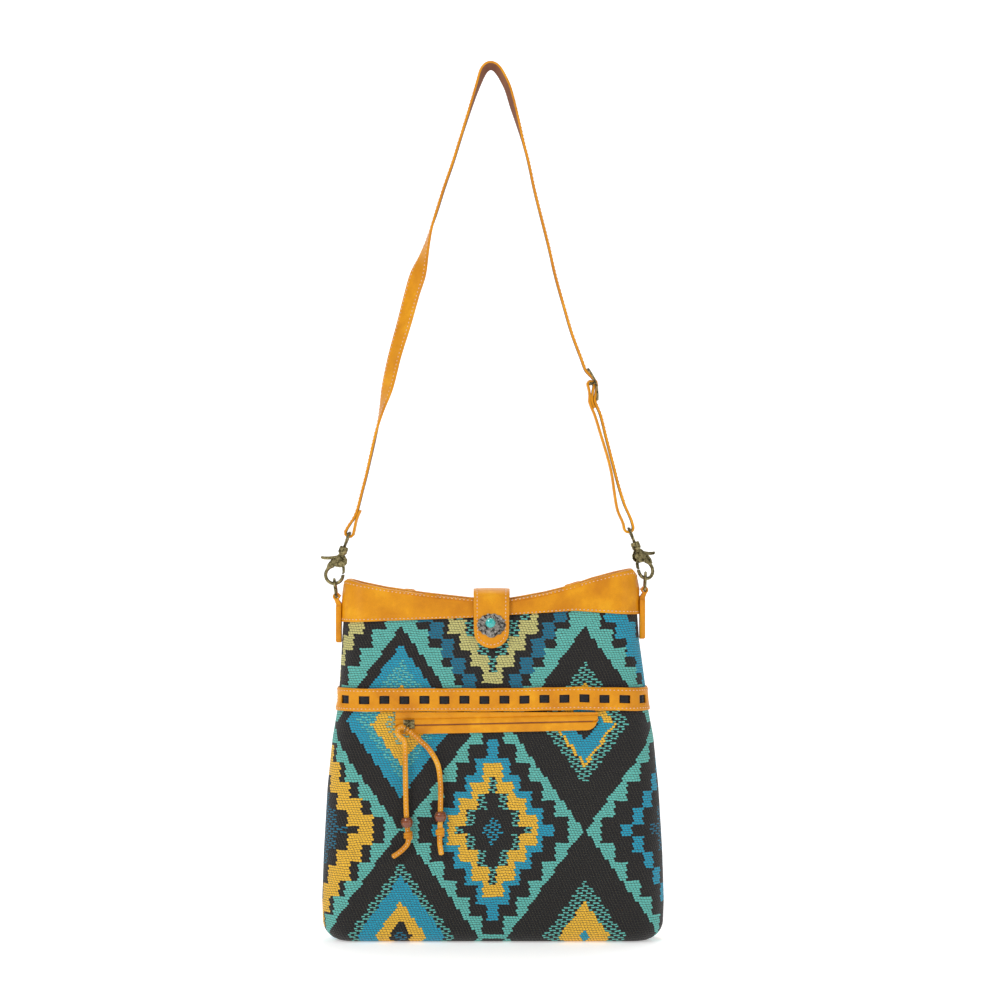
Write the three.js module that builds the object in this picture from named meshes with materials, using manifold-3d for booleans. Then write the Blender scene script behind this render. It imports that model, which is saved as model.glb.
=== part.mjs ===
// Woven shoulder bag: a flat-bottomed wool bag with a leather yoke, a laced leather band, a front zip pocket, a closing
// tab with an oval concho, and a long strap held by two trigger snap hooks. Millimetres, +Z up, the front faces -Y.
import * as THREE from "three";
import { mergeVertices } from "three/addons/utils/BufferGeometryUtils.js";
import Module from "manifold-3d";

const wasm = await Module();
wasm.setup();

// Bag
const BAG_WIDTH = 277; // side to side near the bottom
const BAG_DEPTH = 49; // front to back near the bottom
const BAG_HEIGHT = 296; // base to the top edge beside the left hook
const FABRIC = 1.6;
const LINING = 0.8;
const LEATHER = 1.5;
const LACE = 0.8; // flat lace behind the band
const FIT = 0.3; // air between pieces that lie on each other
const FACING_DEPTH = 30; // leather folded over the rim to the inside
const BASE_PANEL = 1.6;
const BOTTOM_CORNER = 16;
const BOTTOM_FOLD = 12;

// Band, zip and closing tab
const BAND_HEIGHT = 18.9;
const SLOT_LENGTH = 8.1;
const SLOT_HEIGHT = 6.5;
const SLOT_PITCH = 16.2;
const SLOTS_LEFT = 9; // slots left of the slot nearest the middle
const SLOTS_RIGHT = 7;
const ZIP_LENGTH = 165;
const ZIP_RISE = 0.0223; // rise of the zip for each millimetre to the right
const COIL_HEIGHT = 3;
const SLIDER_LENGTH = 9;
const SLIDER_TRAVEL = 148;
const TAB_WIDTH = 30;
const TAB_LEATHER = 2;
const TAB_OPENS = 110; // degrees the closing tab turns back
const LACE_WIDTH = 4.2; // lace of the zip pull
const LACE_THICKNESS = 2.6;
const BEAD_DIAMETER = 10;

// Rings, hooks and strap
const RING_WIRE = 1.15; // radius of the D-ring wire
const RING_HALF_WIDTH = 7.3;
const RING_HEIGHT = 14.2;
const CLAW_WIRE = 1.5; // radius of the hook wire
const CLAW_RADIUS = 7.1; // hook wire centre line round the hole
const HOOK_LENGTH = 36.5; // middle of the hole to the top wire of the swivel eye
const LEFT_PLAY = 1; // air between the hook and the D-ring
const RIGHT_PLAY = 2.4; // more, so that the turned hook stays clear
const LEFT_LEAN = 20; // degrees the left hook leans to the middle
const RIGHT_LEAN = 22;
const RIGHT_TURN = 35; // degrees the right hook is turned round its own shank
const EYE_WIRE = 1.2;
const STRAP_WIDTH = 15.5;
const STRAP_THICKNESS = 2;
const STRAP_RISE = 380; // swivel eyes to the top of the strap
const BUCKLE_WIRE = 0.9;
const BUCKLE_BAR = 1.1;
const BUCKLE_HALF = 13; // half the length of the slide buckle

const RIGHT_ANGLE = Math.PI / 2;
const FULL_TURN = 2 * Math.PI;
const radians = THREE.MathUtils.degToRad;
const lerp = THREE.MathUtils.lerp;

// Value of a table of [place, value] rows, straight between its rows.
function at(rows, place) {
  if (place <= rows[0][0]) {
    return rows[0][1];
  }
  for (let i = 1; i < rows.length; i++) {
    if (place <= rows[i][0]) {
      const [before, low] = rows[i - 1];
      const [after, high] = rows[i];
      return lerp(low, high, (place - before) / (after - before));
    }
  }
  return rows[rows.length - 1][1];
}

// Whole numbers from 0 to count.
function steps(count) {
  return Array.from({ length: count + 1 }, (_, i) => i);
}

// Volume enclosed by a list of faces, negative when they face inward.
function signedVolume(points, faces) {
  let volume = 0;
  const cross = new THREE.Vector3();
  for (let i = 0; i < faces.length; i += 3) {
    cross.crossVectors(points[faces[i + 1]], points[faces[i + 2]]);
    volume += points[faces[i]].dot(cross);
  }
  return volume / 6;
}

// One closed body from corner points and faces, turned to face out.
function solid(points, faces) {
  if (signedVolume(points, faces) < 0) {
    faces.reverse();
  }
  const geometry = new THREE.BufferGeometry();
  geometry.setFromPoints(points);
  geometry.setIndex(faces);
  return geometry;
}

// Skin over a row of equal rings. With an outline the two ends are closed by it, without one the row closes on itself.
function loft(rings, outline = null) {
  const count = rings[0].length;
  const spans = outline ? rings.length - 1 : rings.length;
  const faces = [];
  for (let i = 0; i < spans; i++) {
    const near = i * count;
    const far = ((i + 1) % rings.length) * count;
    for (let k = 0; k < count; k++) {
      const next = (k + 1) % count;
      faces.push(near + k, near + next, far + next);
      faces.push(near + k, far + next, far + k);
    }
  }
  if (outline) {
    const end = (rings.length - 1) * count;
    const way = THREE.ShapeUtils.area(outline) > 0;
    for (const [a, b, c] of THREE.ShapeUtils.triangulateShape(outline, [])) {
      const same = THREE.ShapeUtils.area([outline[a], outline[b], outline[c]]) > 0 === way;
      const [p, q, r] = same ? [a, b, c] : [a, c, b];
      faces.push(r, q, p);
      faces.push(end + p, end + q, end + r);
    }
  }
  return solid(rings.flat(), faces);
}

// Round wire along a path that lies in one plane; across is the direction square to that plane. A flat lace is wider
// than thick by the factor wide.
function wire(path, radius, across, closed = false, sides = 8, wide = 1) {
  const last = path.length - 1;
  const rings = path.map((point, i) => {
    const before = closed ? path[(i + last) % (last + 1)] : path[Math.max(i - 1, 0)];
    const after = closed ? path[(i + 1) % (last + 1)] : path[Math.min(i + 1, last)];
    const side = after.clone().sub(before).normalize().cross(across).normalize();
    const size = typeof radius === "function" ? radius(i / last) : radius;
    return steps(sides - 1).map((k) => {
      const angle = ((k + 0.5) / sides) * FULL_TURN;
      const out = across.clone().multiplyScalar(size * Math.sin(angle));
      return point.clone().addScaledVector(side, size * wide * Math.cos(angle)).add(out);
    });
  });
  if (closed) {
    return loft(rings);
  }
  const outline = steps(sides - 1).map((k) => {
    const angle = ((k + 0.5) / sides) * FULL_TURN;
    return new THREE.Vector2(Math.cos(angle), Math.sin(angle));
  });
  return loft(rings, outline);
}

// Merges doubled corners and drops faces that have shrunk to a line.
function welded(geometry) {
  const plain = new THREE.BufferGeometry();
  plain.setAttribute("position", geometry.getAttribute("position").clone());
  if (geometry.index) {
    plain.setIndex(geometry.index.clone());
  }
  const merged = mergeVertices(plain, 1e-4);
  const all = merged.index.array;
  const kept = [];
  for (let i = 0; i < all.length; i += 3) {
    const [a, b, c] = [all[i], all[i + 1], all[i + 2]];
    if (a !== b && b !== c && c !== a) {
      kept.push(a, b, c);
    }
  }
  merged.setIndex(kept);
  return merged;
}

function toManifold(geometry) {
  const clean = welded(geometry);
  const vertProperties = new Float32Array(clean.getAttribute("position").array);
  const triVerts = new Uint32Array(clean.index.array);
  return new wasm.Manifold(new wasm.Mesh({ numProp: 3, vertProperties, triVerts }));
}

function fromManifold(body) {
  const mesh = body.getMesh();
  const geometry = new THREE.BufferGeometry();
  geometry.setAttribute("position", new THREE.BufferAttribute(new Float32Array(mesh.vertProperties), 3));
  geometry.setIndex(new THREE.BufferAttribute(new Uint32Array(mesh.triVerts), 1));
  return geometry;
}

// First geometry joined with the added ones, then cut by the others.
function carve(added, cut = []) {
  let body = toManifold(added[0]);
  for (const geometry of added.slice(1)) {
    body = body.add(toManifold(geometry));
  }
  for (const geometry of cut) {
    body = body.subtract(toManifold(geometry));
  }
  return fromManifold(body);
}

function box(x, y, z, w, d, h) {
  return new THREE.BoxGeometry(w, d, h).translate(x, y, z);
}

// Round bar along Y between two places.
function barAlongY(x, z, radius, from, to, sides = 16) {
  const bar = new THREE.CylinderGeometry(radius, radius, to - from, sides);
  return bar.translate(x, (from + to) / 2, z);
}

// Flat plate drawn in X and Z, with round holes, between two places along Y.
function plate(outline, from, to, holes = []) {
  const shape = new THREE.Shape(outline.map(([x, z]) => new THREE.Vector2(x, z)));
  for (const [x, z, radius] of holes) {
    const hole = new THREE.Path();
    hole.absarc(x, z, radius, 0, FULL_TURN);
    shape.holes.push(hole);
  }
  const geometry = new THREE.ExtrudeGeometry(shape, { depth: to - from, bevelEnabled: false, curveSegments: 8 });
  geometry.rotateX(RIGHT_ANGLE);
  return geometry.translate(0, to, 0);
}

// Turned body about the Z axis from [radius, height] rows that start and end on the axis or close on themselves.
function turned(profile, sides = 16) {
  const points = profile.map(([radius, height]) => new THREE.Vector2(radius, height));
  return welded(new THREE.LatheGeometry(points, sides).rotateX(RIGHT_ANGLE));
}

const group = new THREE.Group();

const MATERIALS = {
  weave: ["#8d8a5c", 0.95, 0],
  lining: ["#4a4038", 0.95, 0],
  leather: ["#e3a01f", 0.55, 0],
  lace: ["#1c1a18", 0.6, 0],
  brass: ["#8a7f55", 0.4, 1],
  silver: ["#8d8b86", 0.35, 1],
  stone: ["#2bb5b4", 0.25, 0],
  wood: ["#4a2a17", 0.3, 0],
  tape: ["#7a4b14", 0.9, 0],
  coil: ["#6b3d10", 0.5, 0],
};

function add(name, kind, geometry) {
  const [color, roughness, metalness] = MATERIALS[kind];
  const mesh = new THREE.Mesh(geometry, new THREE.MeshStandardMaterial({ color, roughness, metalness }));
  mesh.name = name;
  group.add(mesh);
}

// Half width of the fabric over half of BAG_WIDTH, at heights over BAG_HEIGHT.
const LEFT_SIDE = [[0, 1], [0.11, 1.009], [0.24, 1], [0.42, 0.977], [0.56, 0.947], [0.66, 0.91], [0.7, 0.907], [0.83, 0.89],
  [0.96, 0.874], [1, 0.862]];
const RIGHT_SIDE = [[0, 1], [0.11, 1.009], [0.24, 1], [0.42, 0.977], [0.56, 0.947], [0.66, 0.907], [0.7, 0.9], [0.83, 0.862],
  [0.91, 0.85], [0.97, 0.85], [1, 0.837]];
// Half depth over half of BAG_DEPTH.
const DEPTH = [[0, 0.98], [0.1, 1], [0.33, 0.95], [0.67, 0.9], [0.9, 0.77], [1, 0.62]];
// Top edge over BAG_HEIGHT, from left to right over half of BAG_WIDTH.
const TOP_EDGE = [[-0.885, 0.985], [-0.85, 0.998], [-0.765, 0.988], [-0.63, 0.975], [-0.4, 0.959], [-0.12, 0.944], [0, 0.941],
  [0.11, 0.944], [0.3, 0.961], [0.45, 0.979], [0.585, 1], [0.72, 1.017], [0.8, 1.026], [0.83, 1.005], [0.85, 0.995]];
// Lower edge of the yoke over BAG_HEIGHT.
const YOKE_EDGE = [[-0.9, 0.878], [-0.13, 0.892], [0.11, 0.9], [0.48, 0.911], [0.88, 0.898]];

// How far a rounded fold at the bottom stands in at a height.
function foldIn(height, radius) {
  const rise = Math.max(radius - height, 0);
  return radius - Math.sqrt(radius * radius - rise * rise);
}

function halfWidth(z, side) {
  const rows = side < 0 ? LEFT_SIDE : RIGHT_SIDE;
  return (BAG_WIDTH / 2) * at(rows, z / BAG_HEIGHT) - foldIn(z, BOTTOM_CORNER);
}

function halfDepth(z) {
  return (BAG_DEPTH / 2) * at(DEPTH, z / BAG_HEIGHT) - foldIn(z, BOTTOM_FOLD);
}

// A place on the bag at a height: on the flat front or back by the share along it, or on a round end by its angle.
function bagPoint(place, z, offset) {
  const depth = halfDepth(z);
  const left = depth - halfWidth(z, -1);
  const right = halfWidth(z, 1) - depth;
  if (place.angle === undefined) {
    return new THREE.Vector3(lerp(left, right, place.share), place.face * (depth + offset), z);
  }
  const centre = Math.cos(place.angle) < 0 ? left : right;
  const reach = depth + offset;
  return new THREE.Vector3(centre + reach * Math.cos(place.angle), reach * Math.sin(place.angle), z);
}

const END_STEPS = 6;
const FLAT_STEPS = 10;
const SEAM = 0.01; // angle left open on each side of a seam

// Places from the left side seam over the front to the right side seam.
function frontPlaces() {
  const quarter = (from, to) => steps(END_STEPS).map((i) => ({ angle: lerp(from, to, i / END_STEPS) }));
  const flat = steps(FLAT_STEPS).slice(1, -1).map((i) => ({ share: i / FLAT_STEPS, face: -1 }));
  return [
    ...quarter(Math.PI + SEAM, 1.5 * Math.PI - 1e-6),
    ...flat,
    ...quarter(1.5 * Math.PI + 1e-6, FULL_TURN - SEAM),
  ];
}

// The same places on the back, or the whole round of the bag.
function mirrored(place) {
  return place.angle === undefined ? { share: place.share, face: 1 } : { angle: FULL_TURN - place.angle };
}

const FRONT = frontPlaces();
const BACK = FRONT.map(mirrored);
const ROUND = [...FRONT, ...BACK.slice().reverse()];

function topEdge(place) {
  const { x } = bagPoint(place, BAG_HEIGHT, 0);
  return BAG_HEIGHT * at(TOP_EDGE, x / (BAG_WIDTH / 2));
}

// Base panel: a stiff leather oval that the bag stands on.
const baseRing = (z) => ROUND.map((place) => {
  const corner = bagPoint(place, 0, 0);
  return new THREE.Vector3(corner.x, corner.y * 0.9, z);
});
const flatOutline = baseRing(0).map(({ x, y }) => new THREE.Vector2(x, y));
add("base_panel", "leather", loft([baseRing(0), baseRing(BASE_PANEL)], flatOutline));

// Open shell: up the outside, over the rim and down the inside to its floor. Its rings lie at shares of the top edge.
const WALL_RINGS = [0.02, 0.035, 0.055, 0.11, 0.24, 0.42, 0.56, 0.66, 0.7, 0.83];
function shell(offset, thickness, floor, rimBelow, shares) {
  const flat = (z, out) => ROUND.map((place) => bagPoint(place, z, out));
  const wall = (share, out) => ROUND.map((place) => bagPoint(place, share * topEdge(place), out));
  const rim = (out) => ROUND.map((place) => bagPoint(place, topEdge(place) - rimBelow, out));
  const inside = offset - thickness;
  const outer = [flat(floor, offset), ...shares.map((share) => wall(share, offset)), rim(offset)];
  const inner = [flat(floor + thickness, inside), ...shares.map((share) => wall(share, inside)), rim(inside)];
  const rings = [...outer, ...inner.reverse()];
  const outline = rings[0].map(({ x, y }) => new THREE.Vector2(x, y));
  return loft(rings, outline);
}

const fabricFloor = BASE_PANEL + FIT;
const fabricRim = LEATHER + FIT;
add("fabric_body", "weave", shell(0, FABRIC, fabricFloor, fabricRim, [...WALL_RINGS, 0.9, 0.96]));
const liningOut = -FABRIC - FIT;
const liningFloor = fabricFloor + FABRIC + FIT;
add("body_lining", "lining", shell(liningOut, LINING, liningFloor, FACING_DEPTH + FIT, WALL_RINGS));

// Piece laid round the bag: its outline is given as [offset, height] rows at each place.
function around(places, section) {
  const rings = places.map((place) => section(place).map(([offset, z]) => bagPoint(place, z, offset)));
  const outline = section(places[0]).map(([offset, z]) => new THREE.Vector2(offset, z));
  return loft(rings, outline);
}

// Yoke leather: outside layer, over the rim, and the facing on the inside.
const rimTurn = 1.1;
const yokeAir = FIT + 0.25;
function yokeSection(place) {
  const top = topEdge(place);
  const { x } = bagPoint(place, BAG_HEIGHT * 0.9, 0);
  const low = BAG_HEIGHT * at(YOKE_EDGE, x / (BAG_WIDTH / 2));
  const heights = [low, lerp(low, top, 0.33), lerp(low, top, 0.66)];
  const outside = yokeAir + LEATHER;
  const inside = -FABRIC - yokeAir;
  const facing = top - FACING_DEPTH;
  const middle = top - FACING_DEPTH / 2;
  return [
    ...heights.map((z) => [outside, z]),
    [outside, top - rimTurn],
    [outside - rimTurn, top],
    [inside - LEATHER + rimTurn, top],
    [inside - LEATHER, top - rimTurn],
    [inside - LEATHER, middle],
    [inside - LEATHER, facing],
    [inside, facing],
    [inside, middle],
    [inside, top - LEATHER],
    [yokeAir, top - LEATHER],
    ...heights.reverse().map((z) => [yokeAir, z]),
  ];
}
add("yoke_front", "leather", around(FRONT, yokeSection));
add("yoke_back", "leather", around(BACK, yokeSection));

// Laced band with the flat lace behind its slots.
const bandMiddle = BAG_HEIGHT * 0.667;
const laceBack = FIT + 0.2;
const BAND_BOW = [[-1, 0], [0.1, 0.3], [0.5, 1.5], [0.75, 0.8], [1, 0]];
function bandHeight(place) {
  const { x } = bagPoint(place, bandMiddle, 0);
  return bandMiddle + at(BAND_BOW, x / (BAG_WIDTH / 2));
}
function bandSection(place) {
  const middle = bandHeight(place);
  const low = middle - BAND_HEIGHT / 2;
  const high = middle + BAND_HEIGHT / 2;
  const back = laceBack + LACE + FIT;
  const front = back + LEATHER;
  return [[front, low], [front, middle], [front, high], [back, high], [back, middle], [back, low]];
}
function laceSection(place) {
  const middle = bandHeight(place);
  const half = SLOT_HEIGHT / 2 + 1.5;
  const front = laceBack + LACE;
  return [[front, middle - half], [front, middle + half], [laceBack, middle + half], [laceBack, middle - half]];
}

// Slot cutters spaced evenly along the run of the band.
function slots(face) {
  const depth = halfDepth(bandMiddle);
  const left = depth - halfWidth(bandMiddle, -1);
  const right = halfWidth(bandMiddle, 1) - depth;
  const first = 9.3 - SLOT_PITCH * SLOTS_LEFT;
  return steps(SLOTS_LEFT + SLOTS_RIGHT).map((i) => {
    const run = first + i * SLOT_PITCH;
    const past = run < left ? (run - left) / depth : Math.max(run - right, 0) / depth;
    const centre = past === 0 ? run : past < 0 ? left : right;
    const x = centre + depth * Math.sin(past);
    const y = -depth * Math.cos(past);
    const place = past === 0 ? { share: (run - left) / (right - left), face: -1 } : { angle: 1.5 * Math.PI + past };
    const cutter = new THREE.BoxGeometry(SLOT_LENGTH, 12, SLOT_HEIGHT);
    cutter.rotateZ(past);
    cutter.translate(x, y, bandHeight(place));
    return face < 0 ? cutter : cutter.rotateZ(Math.PI).translate(left + right, 0, 0);
  });
}
add("band_front", "leather", carve([around(FRONT, bandSection)], slots(-1)));
add("band_back", "leather", carve([around(BACK, bandSection)], slots(1)));
add("lace_front", "lace", around(FRONT, laceSection));
add("lace_back", "lace", around(BACK, laceSection));

// Front zip pocket: tape and coil under a leather welt that is slit for them.
const zipLeft = -77;
const zipHeight = BAG_HEIGHT * 0.6065; // of the zip above the base, at the middle of the bag
const zipLine = (x) => zipHeight + x * ZIP_RISE;
const frontY = (z, offset) => -(halfDepth(z) + offset);
const tapeTop = FIT + 0.5;
const weltBack = tapeTop + FIT;
const weltFront = weltBack + LEATHER;
const coilFront = weltBack + 1.2;

// Strip on the flat front between two places, its lower and upper edges given by functions of X.
function onFront(xs, low, high, back, front) {
  const rings = xs.map((x) => {
    const corners = [[front, low(x)], [front, high(x)], [back, high(x)], [back, low(x)]];
    return corners.map(([offset, z]) => new THREE.Vector3(x, frontY(z, offset), z));
  });
  const outline = [[1, 0], [1, 1], [0, 1], [0, 0]].map(([x, y]) => new THREE.Vector2(x, y));
  return loft(rings, outline);
}
const across = (from, to, count) => steps(count).map((i) => lerp(from, to, i / count));
const weltRight = zipLeft + ZIP_LENGTH - 3;
const weltTop = bandMiddle - BAND_HEIGHT / 2 - FIT;
const weltRound = 9;
const weltLow = (x) => {
  const past = Math.max(x - (weltRight - weltRound), 0);
  const before = Math.max(zipLeft - 2 + 6 - x, 0);
  const lift = weltRound - Math.sqrt(weltRound ** 2 - past ** 2) + 6 - Math.sqrt(36 - before ** 2);
  return zipLine(x) - 7 + lift;
};
const weltXs = [
  ...across(zipLeft - 2, zipLeft + 4, 5),
  ...across(-45, weltRight - weltRound, 5),
  ...across(weltRight - weltRound, weltRight - 0.1, 6).slice(1),
];
const welt = onFront(weltXs, weltLow, () => weltTop, weltBack, weltFront);
const zipSlot = new THREE.BoxGeometry(ZIP_LENGTH - 8, 30, COIL_HEIGHT + 2.8);
zipSlot.rotateY(-Math.atan(ZIP_RISE));
zipSlot.translate(zipLeft + ZIP_LENGTH / 2 - 1.5, frontY(zipHeight, 0), zipLine(zipLeft + ZIP_LENGTH / 2 - 1.5));
add("zip_welt", "leather", carve([welt], [zipSlot]));
const tapeXs = across(zipLeft, zipLeft + ZIP_LENGTH - 7, 4);
add("zip_tape", "tape", onFront(tapeXs, (x) => zipLine(x) - 5, (x) => zipLine(x) + 5, FIT, tapeTop));
const coilXs = across(zipLeft + 3.5, zipLeft + ZIP_LENGTH - 7, 4);
const coilHalf = COIL_HEIGHT / 2;
add("zip_coil", "coil", onFront(coilXs, (x) => zipLine(x) - coilHalf, (x) => zipLine(x) + coilHalf, weltBack, coilFront));

// Zip slider: a channel over the coil with a bridge for the pull ring.
const sliderX = zipLeft + 9;
const sliderY = frontY(zipHeight, 0);
const sliderZ = zipLine(sliderX);
const channel = coilHalf + FIT;
const cheek = 0.7;
const sliderTop = weltFront + FIT + 1;
const bridgeRise = 2.6;
const bridgeZ = 1.8;
const slider = carve([
  box(0, -(coilFront + FIT + sliderTop) / 2, 0, SLIDER_LENGTH, sliderTop - coilFront - FIT, 2 * (channel + cheek)),
  box(0, -(weltBack + 0.2 + sliderTop) / 2, channel + cheek / 2, SLIDER_LENGTH, sliderTop - weltBack - 0.2, cheek),
  box(0, -(weltBack + 0.2 + sliderTop) / 2, -channel - cheek / 2, SLIDER_LENGTH, sliderTop - weltBack - 0.2, cheek),
  box(0, -(weltFront + FIT + sliderTop) / 2, 0, SLIDER_LENGTH, 1, 7.4),
  box(0, -sliderTop - bridgeRise / 2, bridgeZ, 7, bridgeRise + 0.4, 1.6),
], [box(0, -sliderTop - 0.8, bridgeZ, 4.6, 1.8, 4)]);
slider.rotateY(-Math.atan(ZIP_RISE));
slider.translate(sliderX, sliderY, sliderZ);
add("zip_slider", "brass", slider);

// Pull ring: a long wire ring through the bridge, leaning to the left.
const pullY = sliderY - sliderTop - 0.8;
const pullLean = radians(26);
const pullWire = 0.55;
const pullLength = 11.5;
const pullHalf = 2.3;
const pullAbove = pullHalf; // top of the ring over the bridge
const pullPath = steps(23).map((i) => {
  const angle = (i / 24) * FULL_TURN;
  const end = (pullLength / 2 - pullHalf) * Math.sign(Math.cos(angle) || 1);
  const along = end + pullHalf * Math.cos(angle);
  const side = pullHalf * Math.sin(angle);
  return new THREE.Vector3(0, side, along - pullLength / 2 + pullAbove);
});
const pullAcross = new THREE.Vector3(1, 0, 0);
const pull = wire(pullPath, pullWire, pullAcross, true, 6);
pull.translate(0, -pullHalf, 0);
pull.rotateY(pullLean);
const pullZ = sliderZ + bridgeZ;
pull.translate(sliderX, pullY, pullZ);
add("zip_pull_ring", "brass", pull);

// Lace of the pull: looped through the ring, both ends hang down through a bead and a knot. Places are from the ring.
const laceHalf = LACE_THICKNESS / 2;
const laceY = pullY - pullHalf;
const LACE_PATH = [[-13.6, -109], [-7, -104.5], [-1.6, -99], [-0.3, -94.5], [-0.75, -88], [-1.2, -84.9], [-1.8, -76.5],
  [-2.3, -66], [-2.8, -40], [-3, -20.5], [-3.9, -14.4], [-6.6, -11.8], [-8.9, -9.3], [-9, -5.8], [-6, -3.5],
  [-2.9, -4.8], [0, -6.6], [3.8, -9.6], [9, -14.6], [16.6, -22], [23.4, -34], [25.6, -50], [25.6, -68], [25.5, -76], [25.2, -86.3],
  [25, -97], [26.5, -107.4]];
const lacePoint = ([x, z]) => new THREE.Vector3(sliderX + x, laceY, pullZ + z);
const laceCurve = new THREE.CatmullRomCurve3(LACE_PATH.map(lacePoint), false, "centripetal");
const acrossY = new THREE.Vector3(0, 1, 0);
const laceShape = wire(laceCurve.getSpacedPoints(76), laceHalf, acrossY, false, 8, LACE_WIDTH / LACE_THICKNESS);
add("pull_lace", "leather", laceShape);

// Bead or knot threaded on the lace between two of its places.
function threaded(radius, half, from, to) {
  const hole = LACE_WIDTH / 2 + 0.4;
  const rim = Math.sqrt(Math.max(1 - (half / radius) ** 2, 0.5));
  const profile = [[hole, -half], [radius * rim, -half], [radius * 0.93, -half * 0.5], [radius, 0],
    [radius * 0.93, half * 0.5], [radius * rim, half], [hole, half], [hole, -half]];
  const body = turned(profile);
  const start = lacePoint(from);
  const way = lacePoint(to).sub(start);
  body.rotateY(Math.atan2(way.x, way.z));
  const middle = start.addScaledVector(way, 0.5);
  return body.translate(middle.x, middle.y, middle.z);
}
add("bead_left", "wood", threaded(BEAD_DIAMETER / 2, 4, [-1.2, -84.9], [-1.8, -76.5]));
add("bead_right", "wood", threaded(BEAD_DIAMETER / 2, 4, [25.47, -80], [25.56, -72]));
add("knot_left", "leather", threaded(3.7, 2.2, [-0.4, -93.5], [-0.72, -88.9]));
add("knot_right", "leather", threaded(3.7, 2.2, [25.13, -91], [25.24, -86.4]));

// Closing tab: a leather strap sewn to the back, over the rim and down the front, held by a magnetic snap.
const rimMiddle = BAG_HEIGHT * at(TOP_EDGE, 0);
const tabX = -1.2;
const tabHalf = TAB_WIDTH / 2;
const conchoZ = BAG_HEIGHT * 0.873;
const snapDisc = 1.2;
const snapZ = conchoZ - 2;
const snapRadius = 6.5;
const snapY = halfDepth(snapZ - snapRadius) + FIT;
const tabFront = snapY + 2 * snapDisc + 2 * FIT + TAB_LEATHER / 2;
const tabBack = (z) => halfDepth(z) + yokeAir + LEATHER + FIT + TAB_LEATHER / 2;
const hingeZ = rimMiddle + 1;
const hingeY = tabBack(rimMiddle);

// Leather ribbon in the Y and Z plane, its half width given along its length.
function leatherTab(path, half) {
  const corners = [[1, -1], [1, 1], [-1, 1], [-1, -1]];
  const rings = path.map(([y, z], i) => {
    const [beforeY, beforeZ] = path[Math.max(i - 1, 0)];
    const [afterY, afterZ] = path[Math.min(i + 1, path.length - 1)];
    const side = new THREE.Vector2(beforeZ - afterZ, afterY - beforeY).normalize().multiplyScalar(TAB_LEATHER / 2);
    const wide = half(i);
    return corners.map(([out, way]) => new THREE.Vector3(tabX + wide * way, y + out * side.x, z + out * side.y));
  });
  return loft(rings, corners.map(([x, y]) => new THREE.Vector2(x, y)));
}
const arch = hingeZ + 4.6;
const ROUND_SHARES = [0.3, 0.55, 0.75, 0.88, 0.96, 1];
const flapEnd = BAG_HEIGHT * 0.809;
const roundStart = flapEnd + 13;
const flapPath = [[hingeY, hingeZ + 0.3], [hingeY - 0.4, hingeZ + 2.4], [hingeY - 2.6, arch - 0.2], [hingeY - 8, arch + 0.9],
  [0, arch + 1.3], [-tabFront + 7, arch + 1.2], [-tabFront + 3.4, arch], [-tabFront + 1.2, arch - 2.6],
  [-tabFront + 0.4, arch - 7], [-tabFront, conchoZ + 3], [-tabFront, roundStart]];
const straight = flapPath.length;
for (const share of ROUND_SHARES) {
  flapPath.push([-tabFront, lerp(roundStart, flapEnd, share)]);
}
function flapHalf(i) {
  if (i < straight) {
    return tabHalf * lerp(1, 0.93, i / straight);
  }
  const share = ROUND_SHARES[i - straight];
  return tabHalf * 0.93 * Math.sqrt(Math.max(1 - share * share, 0.03));
}
add("tab_flap", "leather", leatherTab(flapPath, flapHalf));
const backLow = BAG_HEIGHT * 0.81;
const BACK_SHARES = [[0, 0.55], [0.04, 0.85], [0.15, 1], [0.35, 1], [0.6, 1], [1, 1]];
const backPath = BACK_SHARES.map(([share]) => {
  const z = lerp(backLow, hingeZ - FIT, share);
  return [tabBack(Math.min(z, rimMiddle)), z];
});
add("tab_back", "leather", leatherTab(backPath, (i) => tabHalf * BACK_SHARES[i][1]));
const disc = (radius, from, to) => barAlongY(tabX, snapZ, radius, from, to, 24);
add("snap_base", "silver", disc(snapRadius, -snapY - snapDisc, -snapY));
add("snap_cap", "silver", disc(snapRadius - 0.5, -snapY - 2 * snapDisc - FIT, -snapY - snapDisc - FIT));

// Oval concho with a raised rim and a drop below it, and the round stone set in it.
const conchoBack = tabFront + TAB_LEATHER / 2 + FIT;
const facingOut = (profile, sides) => turned(profile, sides).rotateX(RIGHT_ANGLE);
const oval = facingOut([[0, 0], [11.4, 0], [11.4, 0.8], [9.6, 1.5], [6.8, 1.7], [5.4, 2.6], [0, 2.6]], 32).scale(1, 1, 0.8);
const drop = facingOut([[0, 0], [3.4, 0], [3.4, 1], [2, 1.7], [0, 1.7]], 16).translate(0.8, 0, -10.2);
const seat = facingOut([[0, 0], [5.2, 0], [5.2, 3], [4.5, 3.4], [0, 3.4]], 24).translate(-0.8, 0, 1.8);
const pocket = barAlongY(-0.8, 1.8, 4.35, -4, -2.4, 24);
const concho = carve([oval, drop, seat], [pocket]);
add("concho", "silver", concho.translate(tabX, -conchoBack, conchoZ));
const stone = facingOut([[0, 2.6], [4.05, 2.6], [4.05, 3.6], [3.3, 4.7], [1.9, 5.4], [0, 5.6]], 20);
add("concho_stone", "stone", stone.translate(tabX - 0.8, -conchoBack, conchoZ + 1.8));

// Each side: a folded leather tab holds a D-ring, and the hook of the strap hangs in the ring.
const sideSign = { left: -1, right: 1 };
const barZ = { left: BAG_HEIGHT * 0.947, right: BAG_HEIGHT * 0.965 };
const foldOffset = 3.3;
const foldRadius = RING_WIRE + FIT + LEATHER;
const layers = 2 * LEATHER + 0.6;

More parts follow.
